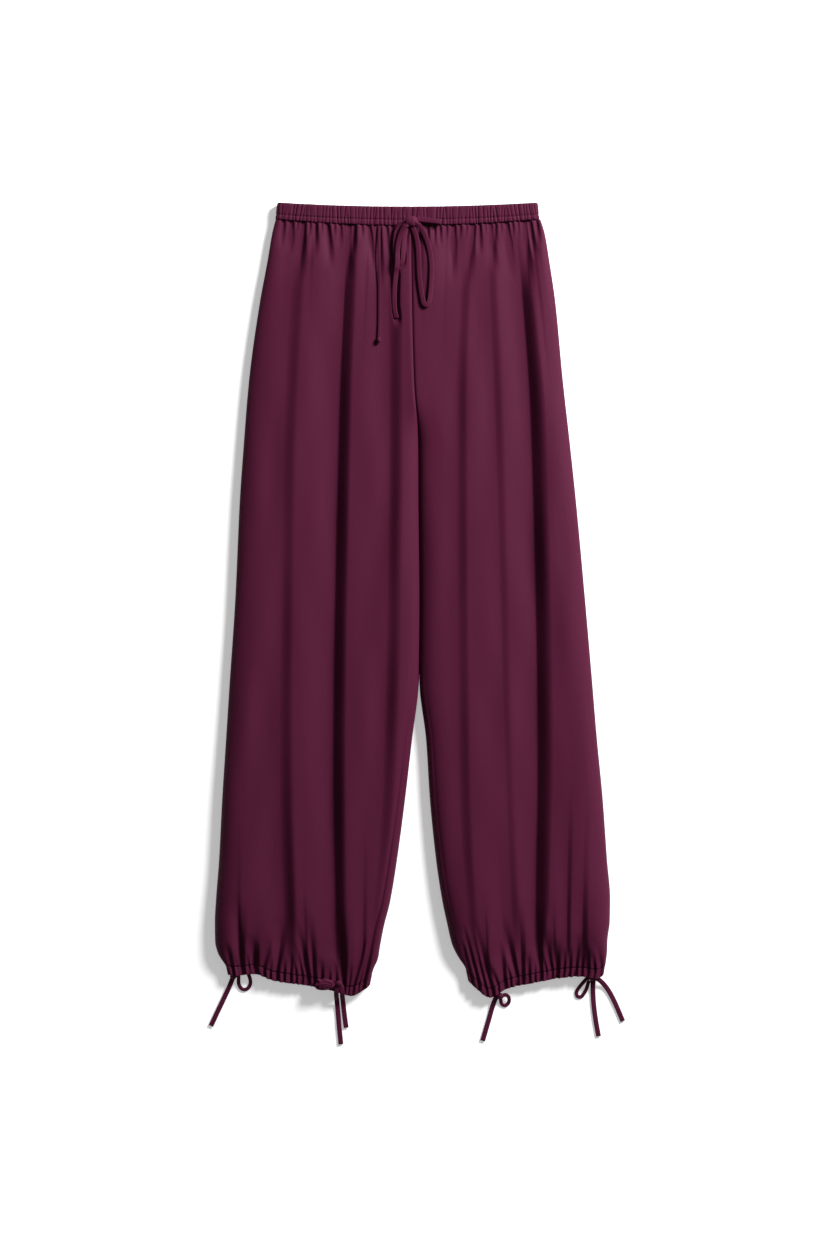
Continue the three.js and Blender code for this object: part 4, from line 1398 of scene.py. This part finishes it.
def smooth_path(points: Sequence[Point], per_step: float) -> Grid:
    """Centripetal curve through points, sampled evenly.

    Args:
        points: Points that it passes through.
        per_step: Distance from one sample to the next.

    Returns:
        The samples, with the first and last of the points kept.
    """
    given = np.asarray(points, float)
    guides = np.concatenate([[2 * given[0] - given[1]], given, [2 * given[-1] - given[-2]]])
    pieces = []
    for a, b, c, d in zip(guides, guides[1:], guides[2:], guides[3:]):
        t1 = math.sqrt(np.linalg.norm(b - a))
        t2 = t1 + math.sqrt(np.linalg.norm(c - b))
        t3 = t2 + math.sqrt(np.linalg.norm(d - c))
        t = np.linspace(t1, t2, SPAN_SAMPLES + 1)[:-1, None]
        ab = a + (b - a) * t / t1
        bc = b + (c - b) * (t - t1) / (t2 - t1)
        cd = c + (d - c) * (t - t2) / (t3 - t2)
        abc = ab + (bc - ab) * t / t2
        bcd = bc + (cd - bc) * (t - t1) / (t3 - t1)
        pieces.append(abc + (bcd - abc) * (t - t1) / (t2 - t1))
    fine = np.concatenate([*pieces, given[-1:]])
    run = lengths_along(fine)
    even = np.linspace(0, run[-1], max(int(run[-1] / per_step), LEAST_STEPS) + 1)
    return places_at(even, run, fine)


def places_at(at: Grid, run: Grid, line: Grid) -> Grid:
    """Points of a line at running lengths."""
    return np.stack([np.interp(at, run, line[:, axis]) for axis in range(3)], axis=1)


def squared_off(wave: Grid, power: float) -> Grid:
    """A sine or cosine with its turns made flatter by a power under 1."""
    return np.sign(wave) * np.abs(wave) ** power


def ribbon(name: str, path: Grid, up: Grid, width: float, thickness: float, sides: int = 20,
           closed: bool = False) -> bpy.types.Object:
    """Flat tube of turned cloth along a path, with soft edges and a shallow middle.

    Args:
        name: Name of the object.
        path: Points of its middle, in millimetres.
        up: Direction that its flat face looks in at each point.
        width: Its width.
        thickness: Its thickness.
        sides: Points round it.
        closed: Whether the path joins its own start.

    Returns:
        The new object.
    """
    heading = headings(path, closed)
    face = up - (up * heading).sum(axis=1)[:, None] * heading
    face /= np.linalg.norm(face, axis=1)[:, None]
    wing = np.cross(heading, face)
    angle = 2 * np.pi * np.arange(sides) / sides
    across = squared_off(np.cos(angle), SIDE_POWER) * width / 2
    hollow = 1 - RIBBON_HOLLOW + RIBBON_HOLLOW * (across / (width / 2)) ** 2
    over = squared_off(np.sin(angle), FACE_POWER) * hollow * thickness / 2
    grid = path[:, None] + across[:, None] * wing[:, None] + over[:, None] * face[:, None]
    run = lengths_along(path)[:, None]
    around = (np.arange(sides + 1) / sides * 2 * width)[None, :]
    uv = np.stack([around + 0 * run, run + 0 * around], axis=2) * MM
    if closed:
        uv = np.concatenate([uv, uv[:1] + (0, run[-1, 0] * MM)])
    return grid_mesh(name, grid, uv, close_rows=closed, close_columns=True, cap_ends=not closed)


def tucked(path: Grid, into: Grid) -> Grid:
    """Carries a string's path on into the knot that it starts at, where one is near.

    Args:
        path: Points from the knot on.
        into: Middles of all the knots.

    Returns:
        The path with a few points inside the knot before it.
    """
    away = np.linalg.norm(into - path[0], axis=1)
    if away.min() > KNOT_REACH:
        return path
    towards = (into[away.argmin()] - path[0]) / away.min()
    steps = np.linspace(min(TUCK_IN, TUCK_SHARE * away.min()), 0, 4)[:-1, None]
    return np.concatenate([path[0] + towards * steps, path])


def build_string(string: String, finishes: Finishes) -> bpy.types.Object:
    """Args:
        string: Its sizes and route.
        finishes: The trousers' materials.

    Returns:
        The string's object.
    """
    path = smooth_path(string.route, per_step=1.0)
    middles = np.array([knot.centre for knot in KNOTS])
    shown = tucked(path, middles)
    if string.far_end is not FarEnd.BARE:
        shown = tucked(shown[::-1], middles)[::-1]
    shares = np.linspace(0, 1, len(shown))
    twist = np.radians(np.interp(shares, (0, 0.5, 1), string.twist))
    up = np.cos(twist)[:, None] * UP + np.sin(twist)[:, None] * np.cross(headings(shown), UP)
    item = ribbon(f"{string.node}_ribbon", shown, up, string.width, string.width * STRING_THICKNESS_SHARE)
    for vertex in item.data.vertices:
        vertex.co.z = max(vertex.co.z, STRING_FLOOR * MM)
    dress(item, finishes.string)
    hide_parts(string.node)
    return item


# Knots
@dataclass(frozen=True)
class Wrap:
    """One turn of string round a knot.

    Attributes:
        heading: Direction of the turn's plane in the lying knot, in degrees from +X.
        tilt: How far the turn leans over, in degrees.
        shift: Offset of its middle from the knot's, as shares of the half sizes.
        reach: Size of the turn as a share of the half sizes.
        width: Width of the string there.
    """

    heading: float
    tilt: float
    shift: Point
    reach: float
    width: float


WRAP_POINTS = 48
WRAP_SIDES = 14
WRAP_SINK = 0.14
WRAP_THICKNESS_SHARE = 0.36
CORE_TURNS = 72
CORE_RINGS = 33
CORE_POLE = 0.02
CORE_SIZE = 0.99
CREASE_SWAY = 1.4
CREASE_START = 0.6
CREASE_POWER = 0.6


@dataclass(frozen=True)
class Knot:
    """A knot of turned string: a soft core with turns of the string round it.

    Attributes:
        node: CAD node that it replaces.
        cord: Node of the string that carries it.
        centre: Its middle.
        half: Its half sizes.
        wraps: Turns round it.
        creases: How many creases its core has.
        crumple: How deep they are, as a share of the half sizes.
    """

    node: str
    cord: str
    centre: Point
    half: Point
    wraps: tuple[Wrap, ...]
    creases: float = 1.5
    crumple: float = 0.08

    def wrap(self, index: int, wrap: Wrap) -> bpy.types.Object:
        """Makes one turn of string round the knot."""
        angle = np.linspace(0, 2 * np.pi, WRAP_POINTS + 1)[:-1]
        heading, tilt = math.radians(wrap.heading), math.radians(wrap.tilt)
        flat = np.array([math.cos(heading), math.sin(heading), 0])
        side = np.array([-math.sin(heading), math.cos(heading), 0])
        rise = math.cos(tilt) * UP + math.sin(tilt) * side
        unit = np.cos(angle)[:, None] * flat + np.sin(angle)[:, None] * rise
        half = np.asarray(self.half) - wrap.width * WRAP_SINK
        path = np.asarray(self.centre) + (unit * wrap.reach + np.asarray(wrap.shift)) * half
        name, thickness = f"{self.node}_turn_{index}", wrap.width * WRAP_THICKNESS_SHARE
        return ribbon(name, path, unit, wrap.width, thickness, WRAP_SIDES, closed=True)

    def core(self) -> bpy.types.Object:
        """Makes the soft middle that shows between the turns."""
        polar = np.linspace(CORE_POLE, np.pi - CORE_POLE, CORE_RINGS)[:, None]
        around = (2 * np.pi * np.arange(CORE_TURNS) / CORE_TURNS)[None, :]
        phase = self.creases * around + CREASE_SWAY * np.cos(2 * polar) + CREASE_START
        crease = np.abs(np.sin(phase)) ** CREASE_POWER
        out = np.sin(polar)
        dent = CORE_SIZE - self.crumple * (1 - crease) * out
        unit = np.stack([out * np.cos(around), out * np.sin(around), np.cos(polar) + 0 * around], axis=2)
        grid = np.asarray(self.centre) + unit * dent[..., None] * np.asarray(self.half)
        u = np.linspace(0, 0.03, CORE_TURNS + 1)[None, :]
        uv = np.stack([u + 0 * polar, 0.01 * polar + 0 * u], axis=2)
        return grid_mesh(f"{self.node}_core", grid, uv, close_columns=True, cap_ends=True)

    def build(self, finishes: Finishes) -> bpy.types.Object:
        """Makes the whole knot as one piece."""
        parts = [self.core()] + [self.wrap(i, wrap) for i, wrap in enumerate(self.wraps)]
        item = joined(f"{self.node}_turns", parts)
        dress(item, finishes.string)
        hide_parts(self.node)
        return item


def tie_wraps(heading: float) -> tuple[Wrap, ...]:
    """Turns of a small hem knot that looks in a direction, in degrees."""
    return (
        Wrap(heading, 12, (0.05, 0.1, 0), 0.96, 3.4),
        Wrap(heading + 78, -18, (0, -0.12, 0), 0.9, 3.2),
        Wrap(heading + 35, 30, (-0.1, 0, 0.05), 0.84, 3),
    )


KNOTS = (
    Knot("waist_knot", "waist_tail_left", (-1.3, 490.8, 17.9), (9, 7, 4), (
        Wrap(88, 8, (0.12, 0, 0.02), 0.96, 6.6), Wrap(62, -14, (-0.42, 0.05, -0.05), 0.84, 5.6),
        Wrap(122, 10, (0.5, -0.05, -0.05), 0.8, 5.6), Wrap(8, 24, (0, 0.3, -0.1), 0.84, 5.2),
    )),
    Knot("waist_tail_thin_knot", "waist_tail_thin", (-43.5, 336.9, 19.8), (3.2, 4.2, 2.4), (
        Wrap(10, 8, (0, 0.15, 0), 0.96, 2.6), Wrap(80, -12, (0, 0, 0), 0.9, 2.4),
    )),
    Knot("tie_right_outer_knot", "tie_right_outer_tail", (-233, -488.9, 7.4), (4.5, 4.3, 3.9),
         tie_wraps(20)),
    Knot("tie_right_inner_knot", "tie_right_inner_tail_long", (-95.6, -497.4, 16.9), (4.8, 3.8, 3.6),
         tie_wraps(70)),
    Knot("tie_right_inner_bow", "tie_right_inner_tail_short", (-114, -498.4, 17.7), (13.6, 8, 3.4), (
        Wrap(8, 40, (-0.1, -0.25, 0.05), 0.82, 5.2), Wrap(-24, 52, (0.25, 0.2, 0.1), 0.6, 5),
        Wrap(84, 10, (0.7, 0, 0), 0.6, 4.6), Wrap(104, -16, (-0.45, 0.1, 0), 0.8, 4.4),
    ), creases=3.5, crumple=0.34),
    Knot("tie_left_inner_knot", "tie_left_inner_tail", (114.5, -514.8, 7), (4.5, 3.8, 3.6), tie_wraps(110)),
    Knot("tie_left_outer_knot", "tie_left_outer_tail_straight", (233.4, -491.1, 6.6), (4.5, 4.3, 3.8),
         tie_wraps(55)),
)


# Stitching
@dataclass(frozen=True)
class StitchLine:
    """A row of machine stitches round a ring of cloth.

    Attributes:
        name: Name of the object.
        line: Points that the stitches follow, in millimetres, joined to their start.
        pitch: Length of one stitch with its gap.
        gap: Share of the pitch that is gap.
        thickness: Thickness of the thread.
    """

    name: str
    line: Grid
    pitch: float = 3.0
    gap: float = 0.22
    thickness: float = 0.36

    def build(self, finishes: Finishes, slot: Slot) -> bpy.types.Object:
        """Makes the row as one piece of stitches that are thin at both ends."""
        loop = np.concatenate([self.line, self.line[:1]])
        run = lengths_along(loop)
        count = int(run[-1] / self.pitch)
        mesh_data = bmesh.new()
        for i in range(count):
            at = (i + np.array([self.gap / 2, 0.5, 1 - self.gap / 2])) * run[-1] / count
            start, middle, end = (Vector(place) for place in places_at(at, run, loop) * MM)
            heading = end - start
            size = Vector((heading.length, self.thickness * MM, self.thickness * MM))
            place = Matrix.LocRotScale(middle, heading.to_track_quat("X", "Z"), size)
            bmesh.ops.create_uvsphere(mesh_data, u_segments=6, v_segments=5, radius=0.5, matrix=place)
        for face in mesh_data.faces:
            face.smooth = True
        item = linked(self.name, mesh_data)
        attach(item, BODY)
        dress(item, finishes.thread)
        LOG.info("%s: %d stitches", self.name, count)
        return item


# Studio
@dataclass(frozen=True)
class Studio:
    """Plain pale floor, a soft light from the upper right and a pale surround."""

    floor_size: float = 14.0
    floor_drop: float = 0.3
    floor_tone: float = 0.95
    floor_glow: float = 0.38
    key_place: Point = (2.15, 2.05, 1.65)
    key_size: float = 1.15
    key_power: float = 255.0
    sky: float = 0.13

    def build(self) -> None:
        """Makes the floor, the light and the surround."""
        mesh_data = bmesh.new()
        bmesh.ops.create_grid(mesh_data, x_segments=1, y_segments=1, size=self.floor_size / 2)
        floor = linked("floor", mesh_data)
        floor.location.z = -self.floor_drop * MM
        nodes = Nodes("pale_floor")
        nodes.set(Base_Color=(self.floor_tone,) * 3 + (1,), Roughness=1.0, Specular_IOR_Level=0.0,
                  Emission_Color=(1, 1, 1, 1), Emission_Strength=self.floor_glow)
        floor.data.materials.append(nodes.material)
        self.light("key_light", self.key_place, self.key_size, self.key_power)
        world = bpy.data.worlds.new("surround")
        world.use_nodes = True
        world.node_tree.nodes["Background"].inputs["Color"].default_value = (1, 1, 1, 1)
        world.node_tree.nodes["Background"].inputs["Strength"].default_value = self.sky
        bpy.context.scene.world = world
        bpy.context.scene.view_settings.view_transform = "Standard"

    def light(self, name: str, place: Point, size: float, power: float) -> None:
        """Makes one soft light that looks at the trousers."""
        lamp = bpy.data.lights.new(name, "AREA")
        lamp.shape = "DISK"
        lamp.size = size
        lamp.energy = power
        item = bpy.data.objects.new(name, lamp)
        item.location = place
        item.rotation_euler = (-Vector(place)).to_track_quat("-Z", "Y").to_euler()
        bpy.context.scene.collection.objects.link(item)


@dataclass(frozen=True)
class PhotoCamera:
    """Camera straight above, framed as the photo is.

    Attributes:
        pixel: Millimetres that one pixel of the photo covers at the cloth's seams.
        centre_pixel: Middle of the photo, in its pixels.
        origin_pixel: Where the frame's origin lies in the photo, in its pixels.
        photo_height: Height of the photo in pixels.
        lens: Focal length in millimetres.
        sensor: Sensor's long side in millimetres.
    """

    pixel: float = 1.3
    centre_pixel: tuple[float, float] = (416.0, 624.0)
    origin_pixel: tuple[float, float] = (412.5, 600.0)
    photo_height: int = 1248
    lens: float = 85.0
    sensor: float = 36.0

    def build(self) -> None:
        """Makes the camera and sets it as the scene's."""
        data = bpy.data.cameras.new("camera")
        data.lens = self.lens
        data.sensor_width = self.sensor
        distance = self.photo_height * self.pixel * self.lens / self.sensor
        across = (self.centre_pixel[0] - self.origin_pixel[0]) * self.pixel
        down = (self.centre_pixel[1] - self.origin_pixel[1]) * self.pixel
        item = bpy.data.objects.new("camera", data)
        item.location = Vector((across, -down, distance + SEAM_HEIGHT)) * MM
        bpy.context.scene.collection.objects.link(item)
        bpy.context.scene.camera = item


# Trousers
class Trousers:
    """The whole pair, piece by piece."""

    def __init__(self, finishes: Finishes) -> None:
        """Keeps the materials that every piece is dressed in.

        Args:
            finishes: The trousers' materials.
        """
        self.finishes = finishes

    def build_strings(self) -> None:
        """Makes the knots and then the strings that carry them."""
        carried: dict[str, list[bpy.types.Object]] = {}
        for knot in KNOTS:
            carried.setdefault(knot.cord, []).append(knot.build(self.finishes))
        for string in STRINGS:
            build_string(string, self.finishes)

    def build_cloth(self) -> None:
        """Makes the panels, the waistband and the hem casings."""
        for leg in Leg:
            Panel(leg, Face.FRONT, across=300, down=150, crowding=(0.3, 0.6)).build(self.finishes)
            Panel(leg, Face.BACK, across=140, down=150, crowding=(0.5, 0.5)).build(self.finishes)
            HemCasing(leg).build(self.finishes)
        Waistband().build(self.finishes)

    def build_stitches(self) -> None:
        """Makes the stitched lines of the waistband's channel and of the hem casings."""
        band, _ = Waistband().grid()
        for number, row in enumerate(Waistband.stitch_rows, start=1):
            StitchLine(f"waist_stitches_{number}", band[row]).build(self.finishes, Slot.TRIM)
        for leg in Leg:
            casing, _, _ = HemCasing(leg).grid()
            row = casing[HemCasing.stitch_row]
            StitchLine(f"{leg.word}_hem_stitches", row).build(self.finishes, Slot.TRIM)


def main() -> None:
    """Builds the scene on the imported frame."""
    logging.basicConfig(level=logging.INFO, format="%(name)s: %(message)s")
    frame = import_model()
    LOG.info("frame with %d nodes", len(frame["nodes"]))
    PhotoCamera().build()
    trousers = Trousers(make_finishes())
    trousers.build_strings()
    trousers.build_cloth()
    trousers.build_stitches()
    Studio().build()


if __name__ == "__main__":
    main()
